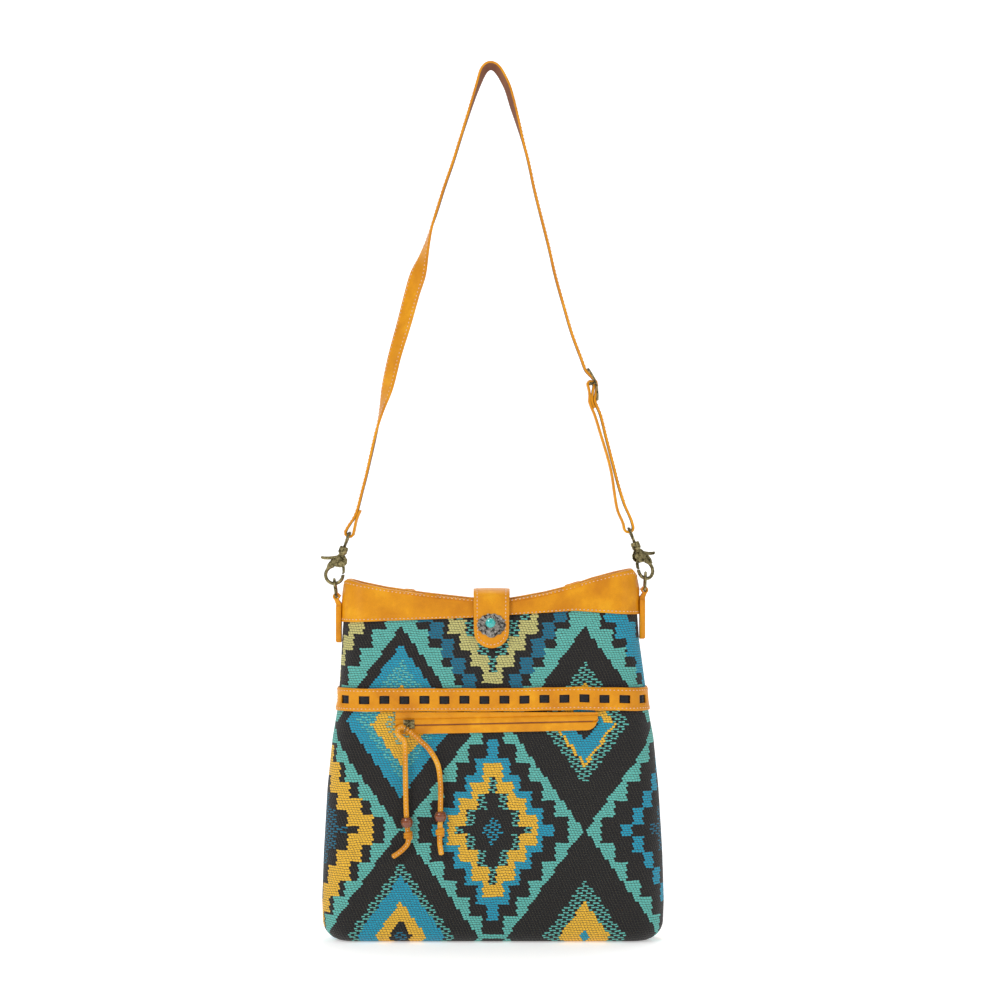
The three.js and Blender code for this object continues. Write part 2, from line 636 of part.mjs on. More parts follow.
// Outer surface of the yoke at the side, where the side tab lies.
function sideSkin(side) {
  const sign = sideSign[side];
  const low = BAG_HEIGHT * 0.885;
  return Math.max(halfWidth(low, sign), halfWidth(barZ[side], sign)) + yokeAir + LEATHER + FIT;
}

function sideTab(side) {
  const sign = sideSign[side];
  const skin = sideSkin(side);
  const low = BAG_HEIGHT * (side === "left" ? 0.821 : 0.831);
  const eye = steps(14).map((i) => {
    const angle = radians(lerp(-55, 235, i / 14));
    return [skin + foldOffset + foldRadius * Math.cos(angle), barZ[side] + foldRadius * Math.sin(angle)];
  });
  const neck = barZ[side] - 6;
  const outline = [[skin, neck], [skin, low], [skin + layers - 1, low], [skin + layers, low + 1], [skin + layers, neck], ...eye];
  const flipped = outline.map(([x, z]) => [sign * x, z]);
  const profile = plate(flipped, -7.5, 7.5, [[sign * (skin + foldOffset), barZ[side], RING_WIRE + FIT]]);
  const narrow = RING_HALF_WIDTH - RING_WIRE - 2 * FIT;
  const cut = (y) => box(sign * skin, y, barZ[side] + 10, 40, 5, 36);
  return carve([profile], [cut(narrow + 2.5), cut(-narrow - 2.5)]);
}

function ringBar(side) {
  return new THREE.Vector3(sideSign[side] * (sideSkin(side) + foldOffset), 0, barZ[side]);
}

// Top wire of the D-ring, a little further out than its bar.
function ringTop(side) {
  const out = side === "left" ? 1.9 : 0.9;
  const rise = Math.sqrt(RING_HEIGHT ** 2 - out ** 2);
  return ringBar(side).add(new THREE.Vector3(sideSign[side] * out, 0, rise));
}

function dRing(side) {
  const bar = ringBar(side);
  const up = ringTop(side).sub(bar).normalize();
  const bow = RING_HEIGHT - RING_HALF_WIDTH;
  const round = steps(12).map((i) => {
    const angle = (i / 12) * Math.PI;
    return [RING_HALF_WIDTH * Math.cos(angle), bow + RING_HALF_WIDTH * Math.sin(angle)];
  });
  const corner = RING_HALF_WIDTH - 0.4;
  const rows = [[-5.8, 0], [5.8, 0], [corner, 0.45], [RING_HALF_WIDTH, 1.6], ...round, [-RING_HALF_WIDTH, 1.6], [-corner, 0.45]];
  const path = rows.map(([y, rise]) => bar.clone().addScaledVector(up, rise).add(new THREE.Vector3(0, y, 0)));
  return wire(path, RING_WIRE, up.clone().cross(acrossY), true);
}

// Middle of the hole of the hook: its lowest wire passes under the top wire of the D-ring.
function hookMiddle(side) {
  const below = (side === "left" ? LEFT_PLAY : RIGHT_PLAY) + RING_WIRE + CLAW_WIRE;
  return ringTop(side).add(new THREE.Vector3(0, 0, CLAW_RADIUS - below));
}

// Frame of a hook: X out of the bag, Z up its shank, turned about the shank when asked.
function hookFrame(side, turn) {
  const lean = radians(side === "left" ? LEFT_LEAN : RIGHT_LEAN);
  const sign = sideSign[side];
  const out = new THREE.Vector3(sign * Math.cos(lean), 0, Math.sin(lean));
  const up = new THREE.Vector3(-sign * Math.sin(lean), 0, Math.cos(lean));
  const frame = new THREE.Matrix4().makeBasis(out, up.clone().cross(out), up);
  frame.setPosition(hookMiddle(side));
  return frame.multiply(new THREE.Matrix4().makeRotationZ(radians(turn)));
}

// Trigger snap hook: an open claw, two cheeks for the trigger, and a cup that the swivel turns in.
const pivotX = -0.5;
const pivotZ = 14.2;
const pinRadius = 1.2;
const gateReach = 12.9;
const cupLow = 18.5;
const cupHigh = 24.5;
const cupWall = 1.4;
const stem = 1.3;
const stemHead = 2.1;
const eyeFoot = 26.4;

function hookBody() {
  const claw = steps(24).map((i) => {
    const angle = radians(lerp(-207, 60, i / 24));
    return new THREE.Vector3(CLAW_RADIUS * Math.cos(angle), 0, CLAW_RADIUS * Math.sin(angle));
  });
  const neck = [[3.75, 8], [3.3, 10.6], [2.2, 12.6]].map(([x, z]) => new THREE.Vector3(x, 0, z));
  const swell = (share) => CLAW_WIRE + Math.max(share - 0.88, 0) * 4;
  const arm = wire([...claw, ...neck], swell, acrossY);
  const cheeks = barAlongY(pivotX, pivotZ, 4.2, -2.6, 2.6, 24);
  const shank = turned([[0, 16.2], [2.6, 16.2], [2.6, 19], [0, 19]]);
  const neckHole = stem + FIT;
  const room = stemHead + FIT;
  const cup = turned([[0, cupLow], [3.2, cupLow], [3.7, cupLow + 0.8], [3.7, cupHigh - 0.8], [3.2, cupHigh], [neckHole, cupHigh],
    [neckHole, cupHigh - cupWall], [room, cupHigh - cupWall], [room, cupLow + cupWall], [0, cupLow + cupWall]], 20);
  const gateGap = box(-2.35, 0, 13.3, 7.3, 2.6, 8.6);
  const leverGap = box(3.65, 0, 14.4, 4.8, 2.6, 6.4);
  const pinHole = barAlongY(pivotX, pivotZ, pinRadius + FIT, -4, 4);
  const sweep = toManifold(barAlongY(pivotX, pivotZ, gateReach + FIT, -3, 3, 48));
  const tipGap = fromManifold(sweep.intersect(toManifold(box(-8, 0, 6, 6, 6, 12))));
  return carve([arm, cheeks, shank, cup], [gateGap, leverGap, pinHole, tipGap]);
}

// Trigger: a flat plate with the gate on one side of the pin and the thumb lever on the other.
function gateBody() {
  const outline = [[-3.3, 13], [-2.6, 16.2], [-0.5, 17.1], [1.8, 16.4], [5, 14.9], [9, 12.8], [13, 11.4], [15.2, 11],
    [15.4, 9.4], [13.6, 8.7], [10, 9.6], [6, 11.3], [2.6, 12.2], [0.4, 11.6], [-2, 10.6], [-4.2, 7.4], [-5.4, 4.6],
    [-5.7, 2.6], [-6.9, 3.2], [-7.5, 4.6], [-6.7, 7.6], [-4.9, 10.6]];
  return carve([plate(outline, -1, 1, [[pivotX, pivotZ, pinRadius + FIT]])]);
}

function pinBody() {
  const head = (from, to) => barAlongY(pivotX, pivotZ, 2.1, from, to);
  return carve([barAlongY(pivotX, pivotZ, pinRadius, -3.3, 3.3), head(2.9, 3.6), head(-3.6, -2.9)]);
}

// Swivel eye: a wire loop for the strap on a stem whose head turns inside the cup.
function swivelEye() {
  const half = STRAP_WIDTH / 2 + 0.6 + EYE_WIRE;
  const top = HOOK_LENGTH;
  const right = [[2.5, eyeFoot], [6, 27.6], [half, 31.5], [half, top - 1.4], [half - 1.4, top]];
  const left = right.map(([y, z]) => [-y, z]).reverse();
  const path = [...left, ...right].map(([y, z]) => new THREE.Vector3(0, y, z));
  const loop = wire(path, EYE_WIRE, new THREE.Vector3(1, 0, 0), true);
  const headLow = cupLow + cupWall + FIT;
  const headHigh = cupHigh - cupWall - FIT;
  const stemBody = turned([[0, headLow], [stemHead, headLow], [stemHead, headHigh], [stem, headHigh], [stem, eyeFoot],
    [0, eyeFoot]]);
  return carve([loop, stemBody]);
}

for (const side of ["left", "right"]) {
  const turn = side === "left" ? 0 : RIGHT_TURN;
  const placed = (body, angle) => body.applyMatrix4(hookFrame(side, angle));
  add(`side_tab_${side}`, "leather", sideTab(side));
  add(`d_ring_${side}`, "brass", dRing(side));
  add(`hook_${side}`, "brass", placed(hookBody(), turn));
  add(`hook_gate_${side}`, "brass", placed(gateBody(), turn));
  add(`gate_pin_${side}`, "brass", placed(pinBody(), turn));
  add(`swivel_eye_${side}`, "brass", placed(swivelEye(), 0));
}

// Strap: one long leather ribbon, drawn in X and Z with a twist in degrees about its own run.
const eyeAt = (side) => new THREE.Vector3(0, 0, HOOK_LENGTH).applyMatrix4(hookFrame(side, 0));
const leftEye = eyeAt("left");
const rightEye = eyeAt("right");
const DRAWN_SPAN = 229.4;
const DRAWN_RISE = 380;
const spanScale = (rightEye.x - leftEye.x) / DRAWN_SPAN;

// Place in the drape from millimetres right of the left eye and above the line through both eyes.
function draped(x, z) {
  const base = lerp(leftEye.z, rightEye.z, x / DRAWN_SPAN);
  return [leftEye.x + x * spanScale, base + (z * STRAP_RISE) / DRAWN_RISE];
}

// Turn of the ribbon round a centre, radius along its centre line, angles in degrees.
function roundTurn(x, z, radius, from, to, count) {
  return steps(count).map((i) => {
    const angle = radians(lerp(from, to, i / count));
    return [x + radius * Math.cos(angle), z + radius * Math.sin(angle), 0];
  });
}

// Place beside a line that leaves a centre at an angle, counted to its left.
function beside(x, z, angle, along, out) {
  const [c, s] = [Math.cos(angle), Math.sin(angle)];
  return [x + c * along - s * out, z + s * along + c * out, 0];
}

const layerGap = STRAP_THICKNESS + FIT;
const leftPull = radians(74);
const leftLoopX = leftEye.x + 0.5 * Math.cos(leftPull);
const leftLoopZ = leftEye.z + 0.5 * Math.sin(leftPull);
const besideLeft = (along, out) => beside(leftLoopX, leftLoopZ, leftPull, along, out);
const leftRadius = 3.4;
const strapPath = [
  besideLeft(20, -1.3 - layerGap),
  besideLeft(12, -0.3 - layerGap),
  besideLeft(6, -3),
  ...roundTurn(leftLoopX, leftLoopZ, leftRadius, -16, -196, 8),
  besideLeft(6, 1.9),
  besideLeft(12, 0),
];
const DRAPE = [[6.4, 18.6, 0], [10, 32.4, 0], [14.2, 48.7, 0], [21.6, 80.8, 0], [26.3, 100, 12], [31.1, 119.1, 36],
  [37.1, 144.8, 42], [44.7, 170.5, 48], [51.6, 196, 53], [56, 210, 56], [60.2, 223.4, 30], [63.9, 236.5, 12],
  [67.5, 249.4, 3], [71.7, 262.5, 0], [78, 282.2, 0], [84.9, 301.9, 0], [93.2, 328, 0], [101.7, 354.4, -4],
  [106.2, 367.5, -10], [109.6, 376.2, -16], [113.4, 380.2, -17], [118, 380.3, -17], [122.2, 377, -17],
  [126.2, 370.4, -16], [130.2, 361.8, -15], [134.6, 346.8, -13], [138.9, 331.7, -6], [142.9, 316.7, 0],
  [147.2, 300.3, 0], [151.6, 279.3, 0], [157.5, 255.4, 0], [163.5, 231.7, 0], [168.9, 207.8, 0], [175.7, 183.7, 0],
  [182.7, 159.8, 0]];
for (const [x, z, twist] of DRAPE) {
  strapPath.push([...draped(x, z), twist]);
}

// Slide buckle: a curved frame with a bar across its middle. Its own frame runs down the strap and out of the loop.
const [buckleX, buckleZ] = draped(199.65, 118.4);
const buckleDown = radians(-73);
const onBuckle = (down, out) => beside(buckleX, buckleZ, buckleDown, down, out);
const frameRise = 2.4;
const frameHalf = STRAP_WIDTH / 2 + 0.7 + BUCKLE_WIRE;
const barOut = -1.7;
const barDown = -0.8;
const sleeve = BUCKLE_BAR + FIT + STRAP_THICKNESS / 2;
const under = -(BUCKLE_WIRE + FIT + STRAP_THICKNESS / 2);
const sleeveOut = barOut + sleeve;

// The running length passes inside the top of the frame, over the bar, and inside the bottom of the frame.
strapPath.push(
  onBuckle(-22, under - 0.6),
  onBuckle(-BUCKLE_HALF, under),
  onBuckle(-9, under + 1.6),
  onBuckle(-5.4, sleeveOut + 0.7),
  onBuckle(-2.8, sleeveOut + layerGap - 0.3),
  onBuckle(barDown, sleeveOut + layerGap + 0.2),
  onBuckle(1.6, sleeveOut + layerGap - 0.1),
  onBuckle(5.6, sleeveOut + 0.85),
  onBuckle(9.4, under + 1.6),
  onBuckle(BUCKLE_HALF, under),
);
const RIGHT_LAYER = [[206.2, 92.9], [210.1, 77.1], [214.1, 61.4], [216.7, 51.5], [220.4, 36.7], [225.8, 19.8], [231, 8]];
for (const [x, z] of RIGHT_LAYER) {
  strapPath.push([...draped(x, z), 0]);
}
const rightPull = radians(106);
const rightLoopX = rightEye.x + 0.9 * Math.cos(rightPull);
const rightLoopZ = rightEye.z + 0.9 * Math.sin(rightPull);
strapPath.push(...roundTurn(rightLoopX, rightLoopZ, 3.8, 16, -164, 8));
const LEFT_LAYER = [[224.4, 4.7], [219.9, 15.1], [217.7, 27], [215.3, 43.7], [213.3, 52.9], [211, 61.4], [206.2, 77.2],
  [201.3, 93]];
for (const [x, z] of LEFT_LAYER) {
  strapPath.push([...draped(x, z), 0]);
}

// The end comes up inside, round the bar and down again between the two layers.
strapPath.push(onBuckle(BUCKLE_HALF, under - 2 * layerGap), onBuckle(8, barOut - sleeve - 1), onBuckle(3, barOut - sleeve - 0.1));
for (const degrees of [180, 150, 120, 90, 60, 30, 0]) {
  const angle = radians(degrees);
  strapPath.push(onBuckle(barDown - sleeve * Math.sin(angle), barOut + sleeve * Math.cos(angle)));
}
strapPath.push(
  onBuckle(2, sleeveOut - 0.35),
  onBuckle(5.2, sleeveOut - 2),
  onBuckle(9.4, under + 1.6 - layerGap - 0.4),
  onBuckle(BUCKLE_HALF, under - layerGap),
  onBuckle(19, under - layerGap + 0.5),
);

function ribbon(path) {
  const corners = [[1, -1], [1, 1], [-1, 1], [-1, -1]];
  const last = path.length - 1;
  const rings = path.map(([x, z, twist], i) => {
    const [beforeX, beforeZ] = path[Math.max(i - 1, 0)];
    const [afterX, afterZ] = path[Math.min(i + 1, last)];
    const run = new THREE.Vector3(afterX - beforeX, 0, afterZ - beforeZ).normalize();
    const out = new THREE.Vector3(-run.z, 0, run.x).applyAxisAngle(run, radians(twist));
    const wide = out.clone().cross(run).multiplyScalar(STRAP_WIDTH / 2);
    const thick = out.multiplyScalar(STRAP_THICKNESS / 2);
    return corners.map(([a, b]) => new THREE.Vector3(x, 0, z).addScaledVector(thick, a).addScaledVector(wide, b));
  });
  return loft(rings, corners.map(([a, b]) => new THREE.Vector2(a, b)));
}
add("shoulder_strap", "leather", ribbon(strapPath));

function slideBuckle() {
  const side = steps(8).map((i) => {
    const down = lerp(-BUCKLE_HALF, BUCKLE_HALF, i / 8);
    return [down, frameRise * (1 - (down / BUCKLE_HALF) ** 2)];
  });
  const point = ([down, out], y) => {
    const [x, z] = onBuckle(down, out);
    return new THREE.Vector3(x, y, z);
  };
  const front = wire(side.map((row) => point(row, -frameHalf)), BUCKLE_WIRE, acrossY);
  const back = wire(side.map((row) => point(row, frameHalf)), BUCKLE_WIRE, acrossY);
  const bar = (row, radius) => {
    const [x, z] = onBuckle(...row);
    return barAlongY(x, z, radius, -frameHalf - 0.4, frameHalf + 0.4, 12);
  };
  const lug = (y) => wire([point([barDown, barOut], y), point([barDown, frameRise], y)], BUCKLE_BAR, acrossY);
  const bars = [bar([-BUCKLE_HALF, 0], BUCKLE_WIRE), bar([BUCKLE_HALF, 0], BUCKLE_WIRE), bar([barDown, barOut], BUCKLE_BAR)];
  return carve([front, back, ...bars, lug(-frameHalf), lug(frameHalf)]);
}
add("slide_buckle", "brass", slideBuckle());

export default group;
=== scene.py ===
import math
import bmesh
import bpy
import numpy as np
from mathutils import Matrix, Vector


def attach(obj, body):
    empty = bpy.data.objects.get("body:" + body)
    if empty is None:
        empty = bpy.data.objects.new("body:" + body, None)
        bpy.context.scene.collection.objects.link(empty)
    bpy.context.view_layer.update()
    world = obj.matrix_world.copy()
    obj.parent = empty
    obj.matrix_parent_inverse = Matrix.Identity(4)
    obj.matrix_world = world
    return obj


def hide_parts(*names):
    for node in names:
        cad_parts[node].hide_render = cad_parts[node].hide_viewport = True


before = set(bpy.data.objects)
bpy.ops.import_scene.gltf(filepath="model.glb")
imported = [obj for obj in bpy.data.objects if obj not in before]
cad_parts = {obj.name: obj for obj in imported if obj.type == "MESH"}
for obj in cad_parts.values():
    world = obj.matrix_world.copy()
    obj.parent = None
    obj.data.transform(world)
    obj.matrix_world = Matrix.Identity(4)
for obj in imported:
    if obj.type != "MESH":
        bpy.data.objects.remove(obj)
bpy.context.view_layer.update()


# Camera and light.
# A long lens straight in front of the bag, at the height of its strap, as in a shop's product photograph.
# The bag stands on white board under wide soft lamps.

camera = bpy.data.objects.new("camera", bpy.data.cameras.new("camera"))
bpy.context.scene.collection.objects.link(camera)
camera.location = (0.0057, -2.4, 0.40)
camera.rotation_euler = (math.radians(90), 0, 0)
camera.data.lens = 36 * 2.376 / 0.81
camera.data.shift_y = -0.05
camera.data.clip_end = 100
bpy.context.scene.camera = camera


def soft_lamp(name, place, aim, size, power):
    lamp = bpy.data.objects.new(name, bpy.data.lights.new(name, "AREA"))
    bpy.context.scene.collection.objects.link(lamp)
    lamp.data.shape = "DISK"
    lamp.data.size = size
    lamp.data.energy = power
    lamp.location = place
    lamp.rotation_euler = (Vector(aim) - Vector(place)).to_track_quat("-Z", "Y").to_euler()


soft_lamp("key_lamp", (-1.2, -1.7, 1.6), (0, 0, 0.3), 0.9, 19)
soft_lamp("fill_lamp", (1.6, -1.6, 0.8), (0, 0, 0.3), 1.5, 5)
soft_lamp("top_lamp", (0.2, 0.5, 2.0), (0, 0, 0.3), 1.0, 12)


def colour(code):
    """sRGB hex code as linear red, green, blue and one."""
    parts = [int(code[i : i + 2], 16) / 255 for i in (1, 3, 5)]
    return [c / 12.92 if c <= 0.04045 else ((c + 0.055) / 1.055) ** 2.4 for c in parts] + [1]


def node(tree, kind, inputs=(), **settings):
    """Adds a shader node. A socket among its inputs is linked, anything else is set."""
    made = tree.nodes.new("ShaderNode" + kind)
    for key, value in settings.items():
        setattr(made, key, value)
    for key, value in dict(inputs).items():
        if isinstance(value, bpy.types.NodeSocket):
            tree.links.new(value, made.inputs[key])
        else:
            made.inputs[key].default_value = value
    return made.outputs


def material(name):
    """A material with only its output node."""
    made = bpy.data.materials.new(name)
    made.use_nodes = True
    made.node_tree.nodes.clear()
    return made


world = bpy.data.worlds.new("white_room")
bpy.context.scene.world = world
world.use_nodes = True
world.node_tree.nodes["Background"].inputs["Color"].default_value = colour("#FFFFFF")
world.node_tree.nodes["Background"].inputs["Strength"].default_value = 0.42
bpy.context.scene.view_settings.view_transform = "Standard"

# White acrylic sweep lit through from behind, so that only the bag's soft shadow shows on it.
card = material("lit_white_acrylic")
tree = card.node_tree
board = node(tree, "BsdfPrincipled", {"Base Color": colour("#F6F6F6"), "Roughness": 0.9,
                                      "Emission Color": colour("#FFFFFF"), "Emission Strength": 0.42})
node(tree, "OutputMaterial", {"Surface": board["BSDF"]})

bm = bmesh.new()
bmesh.ops.create_grid(bm, x_segments=2, y_segments=80, size=4)
for v in bm.verts:
    past = max(v.co.y - 0.8, 0)
    turn = min(past / 1.2, math.pi / 2)
    v.co.z = 1.2 * (1 - math.cos(turn)) + max(past - 0.6 * math.pi, 0)
    v.co.y = v.co.y - past + 1.2 * math.sin(turn)
for face in bm.faces:
    face.smooth = True
floor_mesh = bpy.data.meshes.new("floor")
bm.to_mesh(floor_mesh)
bm.free()
floor = bpy.data.objects.new("floor", floor_mesh)
bpy.context.scene.collection.objects.link(floor)
floor_mesh.materials.append(card)


# Woven body.
# A flat-bottomed bag of heavy wool blend cloth in a stepped-diamond weave, sewn at both sides and turned
# under at the bottom, where it is stitched to the base panel. It swells a little between its corners.

LEFT_SIDE = [(0, 1), (0.11, 1.009), (0.24, 1), (0.42, 0.977), (0.56, 0.947), (0.66, 0.91), (0.7, 0.907),
             (0.83, 0.89), (0.96, 0.874), (1, 0.862)]
RIGHT_SIDE = [(0, 1), (0.11, 1.009), (0.24, 1), (0.42, 0.977), (0.56, 0.947), (0.66, 0.907), (0.7, 0.9),
              (0.83, 0.862), (0.91, 0.85), (0.97, 0.85), (1, 0.837)]
DEPTH = [(0, 0.98), (0.1, 1), (0.33, 0.95), (0.67, 0.9), (0.9, 0.77), (1, 0.62)]
TOP_EDGE = [(-0.885, 0.985), (-0.85, 0.998), (-0.765, 0.988), (-0.63, 0.975), (-0.4, 0.959), (-0.12, 0.944),
            (0, 0.941), (0.11, 0.944), (0.3, 0.961), (0.45, 0.979), (0.585, 1), (0.72, 1.017),
            (0.815, 1.026), (0.837, 1.01), (0.85, 1.0)]
YOKE_EDGE = [(-0.9, 0.878), (-0.13, 0.892), (0.11, 0.9), (0.48, 0.911), (0.88, 0.898)]
HALF = 138.5
TALL = 296.0


def at(rows, place):
    """Value of a table of rows at a place, straight between the rows."""
    return float(np.interp(place, [r[0] for r in rows], [r[1] for r in rows]))


def fold_in(z, radius):
    """How far a rounded bottom fold stands in at a height."""
    rise = max(radius - max(z, 0), 0)
    return radius - math.sqrt(radius * radius - rise * rise)


def bag_shape(z):
    """Ends of the flat front and half the depth at a height, in millimetres."""
    depth = 24.5 * at(DEPTH, z / TALL) - fold_in(z, 12)
    left = depth - (HALF * at(LEFT_SIDE, z / TALL) - fold_in(z, 16))
    right = HALF * at(RIGHT_SIDE, z / TALL) - fold_in(z, 16) - depth
    return left, right, depth


def seams(z):
    """Runs of the left and the right side seam, from the middle of the front round the bag's ends."""
    left, right, depth = bag_shape(z)
    return left - depth * math.pi / 2, right + depth * math.pi / 2


def run_at(share, z):
    """Run at a share of the way from the left side seam to the right one."""
    left, right = seams(z)
    return left * (1 - share) + right * share


def on_bag(run, z, offset, face=-1):
    """Place on the front (-1) or the back (1) at a run and a height, so far outside the cloth."""
    left, right, depth = bag_shape(z)
    middle = min(max(run, left), right)
    turn = (run - middle) / depth
    reach = depth + offset
    return Vector((middle + reach * math.sin(turn), face * reach * math.cos(turn), z)) / 1000


def sheet(name, columns, rows, place, skip=None):
    """Grid of quads laid out by place(s, t), which gives each point and its UV in millimetres."""
    bm = bmesh.new()
    bmesh.ops.create_grid(bm, x_segments=columns, y_segments=rows, size=0.5)
    shares = {v: (v.co.x + 0.5, v.co.y + 0.5) for v in bm.verts}
    if skip:
        gone = [f for f in bm.faces if skip(f.calc_center_median().x + 0.5, f.calc_center_median().y + 0.5)]
        bmesh.ops.delete(bm, geom=gone, context="FACES")
    layer = bm.loops.layers.uv.new("millimetres")
    laid = {v: place(*shares[v]) for v in bm.verts}
    for v, (point, _) in laid.items():
        v.co = point
    for face in bm.faces:
        face.smooth = True
        for loop in face.loops:
            loop[layer].uv = laid[loop.vert][1]
    return finish_mesh(name, bm)


def finish_mesh(name, bm):
    """A new object with the mesh that was built."""
    mesh = bpy.data.meshes.new(name)
    bm.to_mesh(mesh)
    bm.free()
    made = bpy.data.objects.new(name, mesh)
    bpy.context.scene.collection.objects.link(made)
    return made


def thicken(obj, thickness, rounding, inner=0, rim=0):
    """Gives a sheet its thickness, laid inward in millimetres, and rounds its cut edges."""
    wall = obj.modifiers.new("thickness", "SOLIDIFY")
    wall.thickness = thickness / 1000
    wall.offset = -1
    wall.material_offset = inner
    wall.material_offset_rim = rim
    round_edges(obj, rounding, 50)


def round_edges(obj, rounding, least):
    """Rounds edges that turn by at least so many degrees, with a radius in millimetres."""
    edge = obj.modifiers.new("rounded_edge", "BEVEL")
    edge.width = rounding / 1000
    edge.segments = 2
    edge.limit_method = "ANGLE"
    edge.angle_limit = math.radians(least)


def fit(made, finish, body, cad_node):
    """Gives a piece its material and fixes it to its body in the place of a CAD node."""
    made.data.materials.append(finish)
    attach(made, body)
    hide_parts(cad_node)


def ripple(x, z, seed):
    """Slow even unevenness of soft goods, from -1 to 1."""
    waves = math.sin(x / 17 + seed) * math.sin(z / 23 + 2 * seed) + math.sin(x / 31 - z / 19 + 3 * seed)
    return waves / 2


# Wool blend jacquard cloth. The yarn is matt and hairy, so it is rough with a soft sheen. Thick coloured weft
# yarns float over a dark warp, which shows as thin brown lines between them. Yarns lie 1.9 mm apart, floats
# are 2.5 mm long.
cloth = material("wool_jacquard")
tree = cloth.node_tree
mm = node(tree, "UVMap", uv_map="millimetres")["UV"]
wander = node(tree, "TexNoise", {"Vector": mm, "Scale": 0.09, "Detail": 2.0})
drift = node(tree, "VectorMath", {0: wander["Color"], 1: (0.5, 0.5, 0.5)}, operation="SUBTRACT")
drifted = node(tree, "VectorMath", {0: drift[0], 1: (3.0, 3.0, 0.0)}, operation="MULTIPLY")
placed = node(tree, "VectorMath", {0: mm, 1: drifted[0]}, operation="ADD")
axes = node(tree, "SeparateXYZ", {0: placed[0]})
sums = {"x": axes["X"], "z": axes["Y"]}


def work_out(tree, sums, recipe):
    """Math nodes from rows of result, operation, first and second value, by name or number."""
    for result, operation, *values in recipe:
        inputs = {i: sums.get(value, value) for i, value in enumerate(values)}
        sums[result] = node(tree, "Math", inputs, operation=operation)[0]


# Yarn cells: each row of floats starts a third of a float further along than the row under it.
YARN_PITCH = 1.9
FLOAT = 2.5
ROW_SLIDE = 0.83
YARNS = [
    ("row_at", "DIVIDE", "z", YARN_PITCH), ("row", "FLOOR", "row_at"), ("in_row", "FRACT", "row_at"),
    ("start", "MULTIPLY", "row", ROW_SLIDE), ("slid", "ADD", "x", "start"),
    ("float_at", "DIVIDE", "slid", FLOAT), ("float", "FLOOR", "float_at"), ("in_float", "FRACT", "float_at"),
    ("float_mid", "ADD", "float", 0.5), ("float_mm", "MULTIPLY", "float_mid", FLOAT),
    ("px", "SUBTRACT", "float_mm", "start"), ("row_mid", "ADD", "row", 0.5),
    ("pz", "MULTIPLY", "row_mid", YARN_PITCH),
]
work_out(tree, sums, YARNS)

# Diamonds: medallions stand 149 mm apart with their middles 91.9 mm and 264.4 mm up, chevrons between.
REPEAT_WIDE = 149.0
REPEAT_TALL = 172.5
MEDALLION_UP = 91.9


def stepped(name, shift, tall, rounding, wide):
    """Rows for the distance from a medallion's middle to a border with steps so tall and so wide."""
    start, share, whole, steps, out = [name + mark for mark in "12345"]
    return [(start, "ADD", "dz", shift), (share, "DIVIDE", start, tall), (whole, rounding, share),
            (steps, "MAXIMUM", whole, 0.0), (out, "MULTIPLY", steps, wide), (name, "ADD", "dx", out)]


